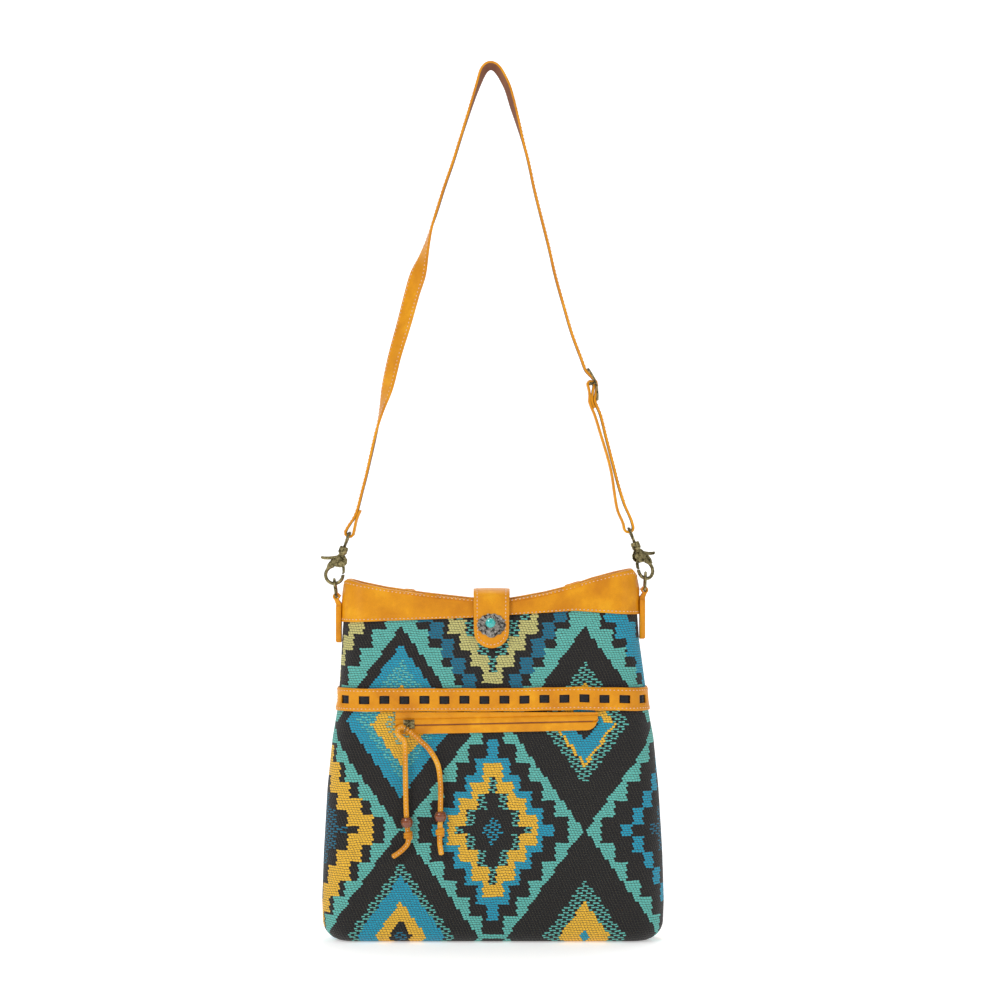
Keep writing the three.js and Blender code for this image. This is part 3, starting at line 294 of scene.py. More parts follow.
# Shares of the cloth that are the overlap of two others.
SHARES = [
    ("odd_right", "odd", "right"), ("odd_left", "odd", "left"), ("even_low", "even", "low"),
    ("even_high", "even", "high"), ("right_low", "odd_right", "low"), ("right_high", "odd_right", "high"),
    ("left_low", "odd_left", "low"), ("left_high", "odd_left", "high"), ("lb", "v_left", "v_bottom"),
    ("rb", "v_right", "v_bottom"), ("lm", "v_left", "v_middle"), ("rm", "v_right", "v_middle"),
    ("lu", "v_left", "v_upper"), ("ru", "v_right", "v_upper"),
]
DIAMONDS = [
    ("col_at", "ADD", "px", 74.7), ("col_share", "DIVIDE", "col_at", REPEAT_WIDE),
    ("col", "FLOOR", "col_share"),
    ("col_mm", "MULTIPLY", "col", REPEAT_WIDE), ("from_col", "SUBTRACT", "px", "col_mm"),
    ("cx", "ADD", "from_col", 0.2),
    ("dx", "ABSOLUTE", "cx"),
    ("up_at", "SUBTRACT", "pz", 5.65), ("up_share", "DIVIDE", "up_at", REPEAT_TALL),
    ("up", "FLOOR", "up_share"),
    ("up_mm", "MULTIPLY", "up", REPEAT_TALL), ("from_up", "SUBTRACT", "pz", "up_mm"),
    ("cz", "SUBTRACT", "from_up", MEDALLION_UP),
    ("dz", "ABSOLUTE", "cz"),
    ("slope", "MULTIPLY", "dz", 0.72), ("m", "ADD", "dx", "slope"),
    ("m_b", "SUBTRACT", 138.1, "m"),
    # teal, blue and gold steps, and the gold ones shifted up for the narrow joins between blocks
    *stepped("teal_d", -10.1, 14.8, "CEIL", 10.4), *stepped("blue_d", -4.5, 13.6, "CEIL", 8.95),
    *stepped("gold_d", 10.9, 13.6, "FLOOR", 9.3), *stepped("join_d", 14.5, 13.6, "FLOOR", 9.3),
    ("gold_out", "MAXIMUM", "gold_d", "join_d"),
    # which medallion and which chevron
    ("odd", "PINGPONG", "col", 1.0), ("even", "SUBTRACT", 1.0, "odd"),
    ("right", "GREATER_THAN", "px", 0.0), ("left", "SUBTRACT", 1.0, "right"),
    ("high", "GREATER_THAN", "up", 0.5), ("low", "SUBTRACT", 1.0, "high"),
    ("v_col", "DIVIDE", "px", REPEAT_WIDE), ("v_floor", "FLOOR", "v_col"),
    ("v_left", "PINGPONG", "v_floor", 1.0),
    ("v_right", "SUBTRACT", 1.0, "v_left"),
    ("v_bottom", "LESS_THAN", "pz", MEDALLION_UP), ("v_upper", "GREATER_THAN", "pz", 178.2),
    ("v_edge", "ADD", "v_bottom", "v_upper"), ("v_middle", "SUBTRACT", 1.0, "v_edge"),
    *[(names[0], "MULTIPLY", *names[1:]) for names in SHARES],
    # thin broken rows, for the mixed areas
    ("thin0", "SUBTRACT", "in_row", 0.5), ("thin1", "ABSOLUTE", "thin0"),
    ("thin", "LESS_THAN", "thin1", 0.27),
    ("third0", "ADD", "float", "row"), ("third1", "DIVIDE", "third0", 3.0), ("third2", "FRACT", "third1"),
    ("third", "GREATER_THAN", "third2", 0.2), ("dashes", "MULTIPLY", "thin", "third"),
]
work_out(tree, sums, DIAMONDS)

BLACK = "#161416"
TEAL = "#62BDB2"
BLUE = "#1C9CBB"
DEEP = "#12708F"
GOLD = "#F3BD38"
PALE = "#CCC67E"
# Where each colour lies: the share of the cloth, the distance measured, from and to in millimetres, the
# colour, and whether it is only thin broken rows. Later rows lie over earlier ones.
FIELDS = [
    ("even_low", "blue_d", -1, 49.2, BLUE, False), ("even_low", "gold_out", -1, 45.4, GOLD, False),
    ("even_low", "gold_d", -1, 30.8, BLACK, False), ("even_low", "gold_d", 24.3, 30.8, TEAL, True),
    ("even_low", "m", -1, 9.0, BLUE, True), ("even_high", "blue_d", -1, 60.0, DEEP, False),
    ("even_high", "blue_d", -1, 49.5, BLACK, False), ("even_high", "gold_out", -1, 45.4, PALE, False),
    ("even_high", "gold_d", -1, 30.8, BLACK, False), ("even_high", "gold_d", 22.0, 30.8, TEAL, True),
    ("left_low", "gold_out", -1, 61.5, GOLD, False), ("left_low", "gold_d", -1, 40.5, BLACK, False),
    ("left_low", "gold_d", -1, 30.0, DEEP, True), ("left_high", "gold_out", -1, 54.0, PALE, False),
    ("left_high", "gold_d", -1, 40.0, BLACK, False), ("left_high", "gold_d", -1, 28.0, TEAL, True),
    ("right_low", "blue_d", 36.0, 44.5, BLUE, False), ("right_low", "blue_d", -1, 20.0, DEEP, True),
    ("right_high", "blue_d", 38.0, 58.0, BLUE, False), ("right_high", "blue_d", -1, 20.0, DEEP, True),
]
# Stepped teal borders, from the inner steps out to the side, and chevrons by their width from the side.
TEALS = [("low", 60.8, 73.7), ("high", 62.0, 79.8)]
CHEVRONS = [
    ("lb", 45.2, TEAL, True), ("lb", 37.6, BLUE, False), ("lb", 22.4, GOLD, False),
    ("lb", 11.0, BLACK, False), ("lb", 6.7, DEEP, True), ("rb", 35.3, TEAL, True), ("rb", 22.4, GOLD, False),
    ("rb", 5.5, BLUE, False), ("lm", 45.0, BLUE, False), ("lm", 34.0, TEAL, True), ("lm", 26.0, GOLD, False),
    ("lm", 15.0, TEAL, True), ("rm", 37.0, TEAL, True), ("rm", 27.1, GOLD, False), ("rm", 24.3, BLUE, False),
    ("rm", 12.0, BLACK, False), ("lu", 48.0, BLUE, False), ("lu", 39.5, TEAL, True),
    ("lu", 24.2, GOLD, False), ("lu", 14.0, TEAL, True), ("ru", 38.3, TEAL, True), ("ru", 25.4, GOLD, False),
    ("ru", 18.0, BLUE, False),
]


def lay(under, mask, code, broken):
    """Lays a yarn colour over the cloth so far where the mask is one, whole or only in thin broken rows."""
    if broken:
        mask = node(tree, "Math", {0: mask, 1: sums["dashes"]}, operation="MULTIPLY")[0]
    return node(tree, "Mix", {0: mask, 6: under, 7: colour(code)}, data_type="RGBA")[2]


def between(distance, low, high, where):
    """One where a distance lies between two values in a share of the cloth."""
    under = node(tree, "Math", {0: sums[distance], 1: high}, operation="LESS_THAN")[0]
    mask = node(tree, "Math", {0: under, 1: sums[where]}, operation="MULTIPLY")[0]
    if low <= 0:
        return mask
    over = node(tree, "Math", {0: sums[distance], 1: low}, operation="GREATER_THAN")[0]
    return node(tree, "Math", {0: mask, 1: over}, operation="MULTIPLY")[0]


woven = colour(BLACK)
for where, inner, outer in TEALS:
    border = between("m", -1, outer, where)
    steps = node(tree, "Math", {0: sums["teal_d"], 1: inner}, operation="GREATER_THAN")[0]
    woven = lay(woven, node(tree, "Math", {0: border, 1: steps}, operation="MULTIPLY")[0], TEAL, False)
for where, distance, low, high, code, broken in FIELDS:
    woven = lay(woven, between(distance, low, high, where), code, broken)
for where, inner, code, broken in CHEVRONS:
    woven = lay(woven, between("m_b", -1, inner, where), code, broken)

# Surface of a float: rounded across and along, dark warp between. Black areas show small brown ticks.
SURFACE = [
    ("a0", "SUBTRACT", "in_row", 0.5), ("a1", "ABSOLUTE", "a0"), ("a2", "MULTIPLY", "a1", 2.0),
    ("a3", "POWER", "a2", 3.0), ("across", "SUBTRACT", 1.0, "a3"), ("l0", "SUBTRACT", "in_float", 0.5),
    ("l1", "ABSOLUTE", "l0"), ("l2", "MULTIPLY", "l1", 2.0), ("l3", "POWER", "l2", 5.0),
    ("along", "SUBTRACT", 1.0, "l3"), ("rounded", "MULTIPLY", "across", "along"),
    ("gap", "LESS_THAN", "rounded", 0.36),
]
work_out(tree, sums, SURFACE)
fibre = node(tree, "TexNoise", {"Vector": mm, "Scale": 1.6, "Detail": 4.0, "Roughness": 0.7})
mottle = node(tree, "TexNoise", {"Vector": mm, "Scale": 0.35, "Detail": 3.0})
tint = node(tree, "MapRange", {"Value": fibre["Fac"], "From Min": 0.25, "From Max": 0.75, "To Min": 0.78,
                               "To Max": 1.2})
patch = node(tree, "MapRange", {"Value": mottle["Fac"], "From Min": 0.3, "From Max": 0.7, "To Min": 0.9,
                                "To Max": 1.08})
shade = node(tree, "Math", {0: tint[0], 1: patch[0]}, operation="MULTIPLY")[0]
toned = node(tree, "VectorMath", {0: woven, "Scale": shade}, operation="SCALE")[0]
paleness = node(tree, "RGBToBW", {0: woven})[0]
coloured = node(tree, "Math", {0: paleness, 1: 0.03}, operation="GREATER_THAN")[0]
tick = node(tree, "Math", {0: sums["in_float"], 1: 0.22}, operation="LESS_THAN")[0]
speck = node(tree, "Mix", {0: tick, 6: colour("#111013"), 7: colour("#54503F")}, data_type="RGBA")[2]
warp = node(tree, "Mix", {0: coloured, 6: speck, 7: colour("#3A362C")}, data_type="RGBA")[2]
warped = node(tree, "Mix", {0: sums["gap"], 6: toned, 7: warp}, data_type="RGBA")[2]
hairy = node(tree, "Math", {0: fibre["Fac"], 1: 0.5}, operation="MULTIPLY")[0]
relief = node(tree, "Math", {0: sums["rounded"], 1: hairy}, operation="ADD")[0]
bump = node(tree, "Bump", {"Height": relief, "Strength": 0.5, "Distance": 0.0008})
wool = node(tree, "BsdfPrincipled", {"Base Color": warped, "Roughness": 0.92, "Sheen Weight": 0.12,
                                     "Sheen Roughness": 0.5, "Normal": bump[0], "IOR": 1.5})
node(tree, "OutputMaterial", {"Surface": wool["BSDF"]})


def top_edge(run, face=-1):
    """Height of the rim at a run along it."""
    return TALL * at(TOP_EDGE, on_bag(run, TALL, 0, face).x * 1000 / HALF)


PANEL = 292.0
TURNED_UNDER = 170


def ramp(value, width):
    """From 0 to 1 over a width."""
    return max(0.0, min(1.0, value / width))


def body_half(face):
    """Front or back panel of the cloth, from one side seam to the other and turned under at the bottom."""
    def place(s, t):
        share = s if face < 0 else 1 - s
        rise = t * 1.06 - 0.06
        if rise < 0:
            point = on_bag(run_at(share, 0.4), 0.4, rise * TURNED_UNDER, face)
            point.z = 0.0019
            return point, (-face * 1000 * point.x, rise * TURNED_UNDER)
        z = rise * PANEL
        limit = top_edge(run_at(share, z), face) - 2.2
        z = min(z * (limit / PANEL) ** (z / PANEL), limit)
        run = run_at(share, z)
        free = ramp(165 - z, 25) + 0.8 * ramp(z - 212, 12) * ramp(250 - z, 15)
        edge = min(1.0, z / 25) * min(1.0, share * (1 - share) * 25)
        swell = free * edge * (0.35 + 0.55 * ripple(run, z, 1.7 * face))
        return on_bag(run, max(z, 0.4), swell, face), (-face * run + (0 if face < 0 else 60), z)

    panel = sheet("body_cloth_front" if face < 0 else "body_cloth_back", 170, 170, place)
    thicken(panel, 1.2, 0.3)
    fit(panel, cloth, "bag", "fabric_body")


for face in (-1, 1):
    body_half(face)


# Yoke.
# Mustard cowhide round the top, front and back, folded over the rim to a facing inside. It is sewn under the
# rim and along its lower edge with cream thread, and it creases where the side tabs pull on it.

# Dyed and waxed cowhide: smooth with fine 0.7 mm pores, soft cloudy darker patches and a satin gloss.
def hide(name, main, dark, light, gloss=0.42, grain=1400.0):
    made = material(name)
    tree = made.node_tree
    spot = node(tree, "TexCoord")["Object"]
    cloud = node(tree, "TexNoise", {"Vector": spot, "Scale": 38.0, "Detail": 5.0, "Roughness": 0.6})
    pores = node(tree, "TexVoronoi", {"Vector": spot, "Scale": grain, "Randomness": 1.0})
    fine = node(tree, "TexNoise", {"Vector": spot, "Scale": 900.0, "Detail": 3.0})
    dim = node(tree, "MapRange", {"Value": cloud["Fac"], "From Min": 0.35, "From Max": 0.62})
    body = node(tree, "Mix", {0: dim[0], 6: colour(dark), 7: colour(main)}, data_type="RGBA")[2]
    # Patches of the light colour, placed at random by the cloud noise: a paler tone on most hides, a painted
    # sheen on the black lace.
    pale_patch_and_painted_sheen = node(tree, "MapRange", {"Value": cloud["Fac"], "From Min": 0.58, "From Max": 0.8})
    lit = node(tree, "Mix", {0: pale_patch_and_painted_sheen[0], 6: body, 7: colour(light)}, data_type="RGBA")[2]
    pit = node(tree, "MapRange", {"Value": pores["Distance"], "From Min": 0.0, "From Max": 0.5,
                                  "To Min": 0.86})
    skin = node(tree, "VectorMath", {0: lit, "Scale": pit[0]}, operation="SCALE")[0]
    height = node(tree, "Math", {0: pores["Distance"], 1: fine["Fac"]}, operation="ADD")[0]
    bump = node(tree, "Bump", {"Height": height, "Strength": 0.25, "Distance": 0.0003})
    satin = node(tree, "MapRange", {"Value": cloud["Fac"], "To Min": gloss - 0.06, "To Max": gloss + 0.1})
    leather = node(tree, "BsdfPrincipled", {"Base Color": skin, "Roughness": satin[0], "Normal": bump[0],
                                            "IOR": 1.38})
    node(tree, "OutputMaterial", {"Surface": leather["BSDF"]})
    return made


mustard = hide("mustard_cowhide", "#E99B04", "#D28204", "#F4B01C")
# Dark brown hide for the strap's inner face and the zip coil. On the strap it is partly the flesh side's own
# brown-pink and partly painted shade, as that side is paler where lit.
dark_brown_and_painted_shade = hide("dark_brown_hide_and_painted_shade", "#8A5638", "#74442B", "#9C6A4A", gloss=0.75, grain=900.0)

# Stitch row: cream waxed thread, each stitch 1.7 mm long every 3.25 mm, sunk into the leather.
thread = material("cream_waxed_thread")
tree = thread.node_tree
spot = node(tree, "TexCoord")["Object"]
twist = node(tree, "TexNoise", {"Vector": spot, "Scale": 2500.0, "Detail": 2.0})
strand = node(tree, "Mix", {0: twist["Fac"], 6: colour("#DDAE84"), 7: colour("#F7D9BE")}, data_type="RGBA")[2]
ridge = node(tree, "Bump", {"Height": twist["Fac"], "Strength": 0.5, "Distance": 0.0002})
waxed = node(tree, "BsdfPrincipled", {"Base Color": strand, "Roughness": 0.6, "Normal": ridge[0]})
node(tree, "OutputMaterial", {"Surface": waxed["BSDF"]})


def stitches(name, body, rows, pitch=3.25, long=1.7):
    """Rows of stitches, each row a list of points in metres that it follows."""
    bm = bmesh.new()
    for row in rows:
        lengths = [0.0]
        for a, b in zip(row, row[1:]):
            lengths.append(lengths[-1] + (b - a).length)
        for k in range(int(lengths[-1] * 1000 / pitch)):
            mid = (k + 0.5) * pitch / 1000
            ends = [Vector([float(np.interp(mid + e, lengths, [p[i] for p in row])) for i in range(3)])
                    for e in (-long / 2000, long / 2000)]
            run = ends[1] - ends[0]
            turn = run.to_track_quat("X", "Z").to_matrix().to_4x4()
            size = Matrix.Diagonal((long / 2000, 0.0005, 0.00045, 1))
            shape = Matrix.Translation((ends[0] + ends[1]) / 2) @ turn @ size
            bmesh.ops.create_icosphere(bm, subdivisions=1, radius=1.0, matrix=shape)
    for face in bm.faces:
        face.smooth = True
    made = finish_mesh(name, bm)
    made.data.materials.append(thread)
    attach(made, body)
    return made


def yoke_edge(run, face):
    """Height of the yoke's lower edge."""
    return TALL * at(YOKE_EDGE, on_bag(run, TALL * 0.9, 0, face).x * 1000 / HALF)


def yoke_place(share, rise, proud, face):
    """Place on the yoke's outside, from its lower edge (0) to the rim (1)."""
    low = yoke_edge(run_at(share, TALL * 0.9), face)
    z = low + (top_edge(run_at(share, TALL), face) - low) * rise
    return on_bag(run_at(share, z), z, proud, face)


OUTSIDE = 2.05
INSIDE = -3.65
FACING = 28


def yoke_half(face):
    """Front or back of the yoke: up the outside, over the rim and down the facing."""
    def place(s, t):
        share = s if face < 0 else 1 - s
        rim = top_edge(run_at(share, TALL), face)
        if t < 0.55:
            rise = t / 0.55
            puckers = 0.5 * ripple(share * 700, rise * 60, 2.0 + face)
            puckers += 0.25 * math.sin(share * 90) * (1 - rise)
            proud = OUTSIDE + 0.45 * math.sin(math.pi * rise) * puckers
            point = yoke_place(share, rise * 0.985, proud, face)
        elif t < 0.7:
            angle = (t - 0.55) / 0.15 * math.pi
            half = (OUTSIDE - INSIDE) / 2
            over = rim - 0.7 - 0.8 * (1 - math.sin(angle))
            point = on_bag(run_at(share, rim), over, INSIDE + half + half * math.cos(angle), face)
        else:
            z = rim - 1.2 - FACING * (t - 0.7) / 0.3
            point = on_bag(run_at(share, z), z, INSIDE, face)
        return point, (1000 * point.x, 1000 * point.z)

    side = "front" if face < 0 else "back"
    made = sheet("yoke_leather_" + side, 150, 40, place)
    thicken(made, 1.4, 0.4)
    fit(made, mustard, "bag", "yoke_" + side)
    shares = np.linspace(0.015, 0.985, 120)
    rows = [[yoke_place(s, rise, 2.15, face) for s in shares] for rise in (0.06, 0.9)]
    stitches("yoke_stitches_" + side, "bag", rows)


for face in (-1, 1):
    yoke_half(face)


# Laced band.
# A mustard strip sewn round the bag over the seam, punched with a row of slots. A flat black lace runs behind
# it and shows through each slot, pushed a little forward.

BAND_SHARE = 0.667
SLOT_AT = 9.3
SLOT_PITCH = 16.2
SLOT_EDGES = [SLOT_AT + SLOT_PITCH * i + e for i in range(-9, 9) for e in (-4.05, 4.05)]


def from_slot(run):
    """How far a run is past the middle of the nearest slot, in shares of half the pitch."""
    half = SLOT_PITCH / 2
    return ((run - SLOT_AT + half) % SLOT_PITCH - half) / half


def band_height(run):
    """Height of the band's centre line."""
    return TALL * BAND_SHARE + at([(-1, 0), (0.1, 0.3), (0.5, 1.5), (0.75, 0.8), (1, 0)], run / HALF)


def drawn_in(run, low, high):
    """How much closer the band lies near its side seams, where it is pulled tight."""
    return 1.5 * max(0.0, 1 - min(run - low, high - run) / 30)


def band_half(face):
    """Front or back of the band, its stitches, and the lace behind it."""
    low, high = seams(TALL * BAND_SHARE)
    marks = sorted({low + 0.1, high - 0.1, *[e for e in SLOT_EDGES if low + 0.2 < e < high - 0.2]})
    stops = [marks[0]]
    for a, b in zip(marks, marks[1:]):
        stops += [a + (b - a) * k / 4 for k in (1, 2, 3, 4)]
    heights = [-9.45, -8.2, -6.2, -3.25, 0, 3.25, 6.2, 8.2, 9.45]
    columns = len(stops) - 1

    def in_slot(s, t):
        run = stops[min(int(s * columns), columns - 1)] / 2 + stops[min(int(s * columns) + 1, columns)] / 2
        run = run if face < 0 else low + high - run
        return abs(from_slot(run)) < 0.49 and 3 / 8 < t < 5 / 8

    def place(s, t):
        run = stops[round(s * columns)]
        if face > 0:
            run = low + high - run
        swell = 0.3 * from_slot(run) ** 2 - (0.35 if t in (0, 1) else 0)
        z = band_height(run) + heights[round(t * 8)] + 0.15 * math.sin(run / 5)
        return on_bag(run, z, 3.1 + swell - drawn_in(run, low, high), face), (run, z)

    side = "front" if face < 0 else "back"
    made = sheet("band_leather_" + side, columns, 8, place, in_slot)
    thicken(made, 1.4, 0.35)
    fit(made, mustard, "bag", "band_" + side)
    runs = np.linspace(low + 2, high - 2, 160)
    rows = [[on_bag(r, band_height(r) + h, 3.3 - drawn_in(r, low, high), face) for r in runs]
            for h in (-7.2, 7.2)]
    stitches("band_stitches_" + side, "bag", rows)

    def lace_place(s, t):
        run = low + (high - low) * (s if face < 0 else 1 - s)
        z = band_height(run) + (t - 0.5) * 9
        push = 0.9 * max(math.cos(from_slot(run) * math.pi), 0)
        tight = min(drawn_in(run, low, high), 1.0)
        return on_bag(run, z, 1.5 + push - tight + 0.15 * math.sin(t * 22), face), (run, z)

    behind = sheet("lace_strip_" + side, 260, 14, lace_place)
    thicken(behind, 0.7, 0.15)
    fit(behind, black_leather, "bag", "lace_" + side)


# Black flat lace: soft goat leather, with a painted blue-grey sheen in cloudy patches of its light colour.
black_leather = hide("black_goat_lace", "#14161F", "#0B0B10", "#4A5472", gloss=0.38, grain=2200.0)
for face in (-1, 1):
    band_half(face)


# Zip pocket.
# Two leather lips sewn to the front under the band nearly meet over a brown coil zip. The slider stands at
# the left end of the slit with its ring hanging over the leather.

def zip_line(x):
    """Height of the slit, which rises a little to the right."""
    return 179.52 + 0.0223 * x


def rounded(past, radius):
    """How much a corner of a radius takes off at a distance past its start."""
    return radius - math.sqrt(max(radius * radius - past * past, 0))


WELT_TOP = 187.7
WELT_LOW = 8.2
# Height from the slit at shares of the way up, and how proud of the cloth the lips lie there.
LIPS = [(0.36, -3.0), (0.44, -1.6), (0.52, -0.6), (0.6, 0.6), (0.74, 3.6), (0.8, 4.2), (0.86, 5.0)]
PROUD = [(0, 2.2), (0.1, 2.6), (0.3, 2.7), (0.42, 2.9), (0.46, 1.7), (0.5, 1.6), (0.54, 2.9), (0.66, 3.0),
         (0.74, 2.6), (0.78, 1.7), (0.83, 2.4), (0.95, 2.8), (1, 2.5)]


def welt_place(s, t):
    x = -79 + 163.9 * s
    slit = zip_line(x)
    low = slit - WELT_LOW + rounded(max(x - 75.9, 0), 9) + rounded(max(-73 - x, 0), 6)
    levels = [(0, low), (0.08, low + 0.5)] + [(share, slit + rise) for share, rise in LIPS] + [(1, WELT_TOP)]
    z = max(at(levels, t), low)
    depth = bag_shape(z)[2] + at(PROUD, t) + 0.12 * ripple(x * 2, z, 4.0)
    return Vector((x, -depth, z)) / 1000, (x, z)


def welt_slit(s, t):
    return 0.452 < t < 0.492 and 0.06 < s < 0.97


welt = sheet("zip_welt_leather", 110, 48, welt_place, welt_slit)
thicken(welt, 1.0, 0.25)
fit(welt, mustard, "bag", "zip_welt")


# Cast and drawn metal.
# Zip slider, pull ring, D-rings, snap hooks with their gates, pins and swivel eyes, and the slide buckle are
# zinc castings and drawn wire with an antique brass plate, so their corners are soft and their hollows dark.

# Antiqued brass plate: rubbed bright on high spots over a brown-black patina, with a cast skin of about 1 mm.
def plated(name, bright, dark, rough):
    made = material(name)
    tree = made.node_tree
    spot = node(tree, "TexCoord")["Object"]
    worn = node(tree, "TexNoise", {"Vector": spot, "Scale": 420.0, "Detail": 5.0, "Roughness": 0.65})
    cast = node(tree, "TexNoise", {"Vector": spot, "Scale": 1100.0, "Detail": 2.0})
    share = node(tree, "MapRange", {"Value": worn["Fac"], "From Min": 0.38, "From Max": 0.6})
    plate = node(tree, "Mix", {0: share[0], 6: colour(dark), 7: colour(bright)}, data_type="RGBA")[2]
    dull = node(tree, "MapRange", {"Value": worn["Fac"], "To Min": rough + 0.15, "To Max": rough - 0.1})
    bump = node(tree, "Bump", {"Height": cast["Fac"], "Strength": 0.2, "Distance": 0.0002})
    metal = node(tree, "BsdfPrincipled", {"Base Color": plate, "Metallic": 1.0, "Roughness": dull[0],
                                          "Normal": bump[0]})
    node(tree, "OutputMaterial", {"Surface": metal["BSDF"]})
    return made


brass = plated("antiqued_brass_plate", "#A89B6E", "#3E3724", 0.36)


def copy_of(cad_node, name):
    """Merged copy of a CAD node's mesh as a new object."""
    bm = bmesh.new()
    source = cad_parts[cad_node]
    bm.from_mesh(source.data)
    bm.transform(source.matrix_world)
    bmesh.ops.remove_doubles(bm, verts=bm.verts, dist=1e-6)
    for face in bm.faces:
        face.smooth = True
    return finish_mesh(name, bm)


def cast_copy(cad_node, body, finish, fine=0.00035, relax=6):
    """The CAD shape with its corners flowed soft, as a casting or a polished bead has them."""
    made = copy_of(cad_node, cad_node + "_finished")
    skin = made.modifiers.new("skin", "REMESH")
    skin.mode = "VOXEL"
    skin.voxel_size = fine
    skin.use_smooth_shade = True
    soft = made.modifiers.new("soft_corners", "SMOOTH")
    soft.factor = 0.5
    soft.iterations = relax
    fit(made, finish, body, cad_node)
    return made


# Outline of the cast cheek on each side of a hook, in millimetres out from the shank and up from its hole.
CHEEK = [(7.9, 3), (8.1, 6.9), (6.6, 11), (4.9, 14), (1.9, 16.4), (-3.4, 16.9), (-5.6, 15.5), (-6.6, 12.5),
         (-6.2, 10.6), (-4.2, 8.3), (-2, 7.2), (0, 6.9), (2.4, 6.6), (4.6, 5.2), (6, 3)]


def add_cheeks(made, origin, out, up):
    """Two flat cheeks that close the body of a hook round the spring of its gate."""
    bm = bmesh.new()
    bm.from_mesh(made.data)
    across = up.cross(out)
    for side in (-1, 1):
        low, high = [[bm.verts.new((origin + out * u + up * v + across * side * y) / 1000) for u, v in CHEEK]
                     for y in (1.35, 2.4)]
        for k in range(len(CHEEK)):
            bm.faces.new((low[k - 1], low[k], high[k], high[k - 1]))
        bm.faces.new(low)
        bm.faces.new(high)
    bmesh.ops.recalc_face_normals(bm, faces=bm.faces)
    bm.to_mesh(made.data)
    bm.free()


# CAD node, the body it rides on, the voxel size in metres, and how often its surface is relaxed.
METAL = [("zip_slider", "zip_slider", 0.0002, 6), ("zip_pull_ring", "zip_pull", 0.0002, 6),
         ("slide_buckle", "strap", 0.0003, 6)]
for side in ("left", "right"):
    METAL += [("d_ring_" + side, "d_ring_" + side, 0.0003, 6), ("swivel_eye_" + side, "strap", 0.0003, 6),
              ("hook_" + side, "hook_" + side, 0.0003, 3), ("gate_pin_" + side, "hook_" + side, 0.0002, 6),
              ("hook_gate_" + side, "gate_" + side, 0.0003, 3)]
cast = {cad_node: cast_copy(cad_node, body, brass, fine, relax)
        for cad_node, body, fine, relax in METAL}

# The left hook leans to the middle. The right one leans too, and is turned 35 degrees round its shank.
add_cheeks(cast["hook_left"], Vector((-129.877, 0, 297.834)), Vector((-0.940, 0, 0.342)),
           Vector((0.342, 0, 0.940)))
shank = Vector((-0.3746, 0, 0.927))
turned = Matrix.Rotation(math.radians(35), 3, shank) @ Vector((0.927, 0, 0.3746))
add_cheeks(cast["hook_right"], Vector((124.794, 0, 301.861)), turned, shank)


# Pull lace.
# A flat mustard lace, stitched along its middle, is looped through the pull ring. Both ends hang down the
# front, each through a turned wooden bead held by an overhand knot.

# Thong leather: the same mustard hide with its paler cut edges showing along the lace.
thong = hide("mustard_thong", "#E9A01C", "#C97C10", "#FBCB62", gloss=0.45, grain=2600.0)

PULL = Vector((-68.0, -29.28, 179.81))
LEFT_STRAND = [(0, -6.6), (-2.9, -4.8), (-6, -3.5), (-9, -5.8), (-8.9, -9.3), (-6.6, -11.8), (-3.9, -14.4),
               (-3, -20.5), (-2.8, -40), (-2.3, -66), (-1.8, -76.5), (-1.2, -84.9), (-0.75, -88),
               (-0.3, -94.5), (-1.6, -99), (-7, -104.5), (-13.6, -109)]
RIGHT_STRAND = [(0, -6.6), (3.8, -9.6), (9, -14.6), (16.6, -22), (23.4, -34), (25.6, -50), (25.6, -68),
                (25.5, -76), (25.2, -86.3), (25, -97), (26.5, -107.4)]


def along(points, share):
    """Place at a share of the length of a line of points."""
    parts = [(Vector(b) - Vector(a)).length for a, b in zip(points, points[1:])]
    lengths = np.concatenate([[0], np.cumsum(parts)])
    return [float(np.interp(share * lengths[-1], lengths, column)) for column in zip(*points)]


def close_seam(made):
    """Joins the first and last columns of a sheet that goes all the way round."""
    bm = bmesh.new()
    bm.from_mesh(made.data)
    bmesh.ops.remove_doubles(bm, verts=bm.verts, dist=1e-7)
    bmesh.ops.recalc_face_normals(bm, faces=bm.faces)
    bm.to_mesh(made.data)
    bm.free()


def smoothed(points, steps=8):
    """Points of a smooth curve through the given ones."""
    laid = []
    for i in range(len(points) - 1):
        a, b, c, d = points[max(i - 1, 0)], points[i], points[i + 1], points[min(i + 2, len(points) - 1)]
        for k in range(steps):
            u = k / steps
            bend = (2 * a - 5 * b + 4 * c - d) * u + (3 * b - 3 * c + d - a) * u ** 2
            laid.append(b + 0.5 * u * ((c - a) + bend))
    return laid + [points[-1]]


LACE_WIDTH = 0.0042
LACE_THICKNESS = 0.0024


def flat_lace(name, line):
    """Lace along a line in metres, lying flat on the front, its section a box with round sides."""
    def place(s, t):
        here = Vector(along(line, t))
        run = Vector(along(line, min(t + 0.006, 1))) - Vector(along(line, max(t - 0.006, 0)))
        across = run.normalized().cross(Vector((0, 1, 0)))
        full = 0 if t in (0, 1) else 1
        c, z = math.cos(2 * math.pi * s), math.sin(2 * math.pi * s)
        wide = math.copysign(abs(c) ** 0.6, c) * LACE_WIDTH / 2 * full
        proud = math.copysign(abs(z) ** 0.7, z) * LACE_THICKNESS / 2 * full
        return here + across * wide - Vector((0, proud, 0)), (2 * math.pi * s, t * 100)

    made = sheet(name, 20, 150, place)
    close_seam(made)
    return made


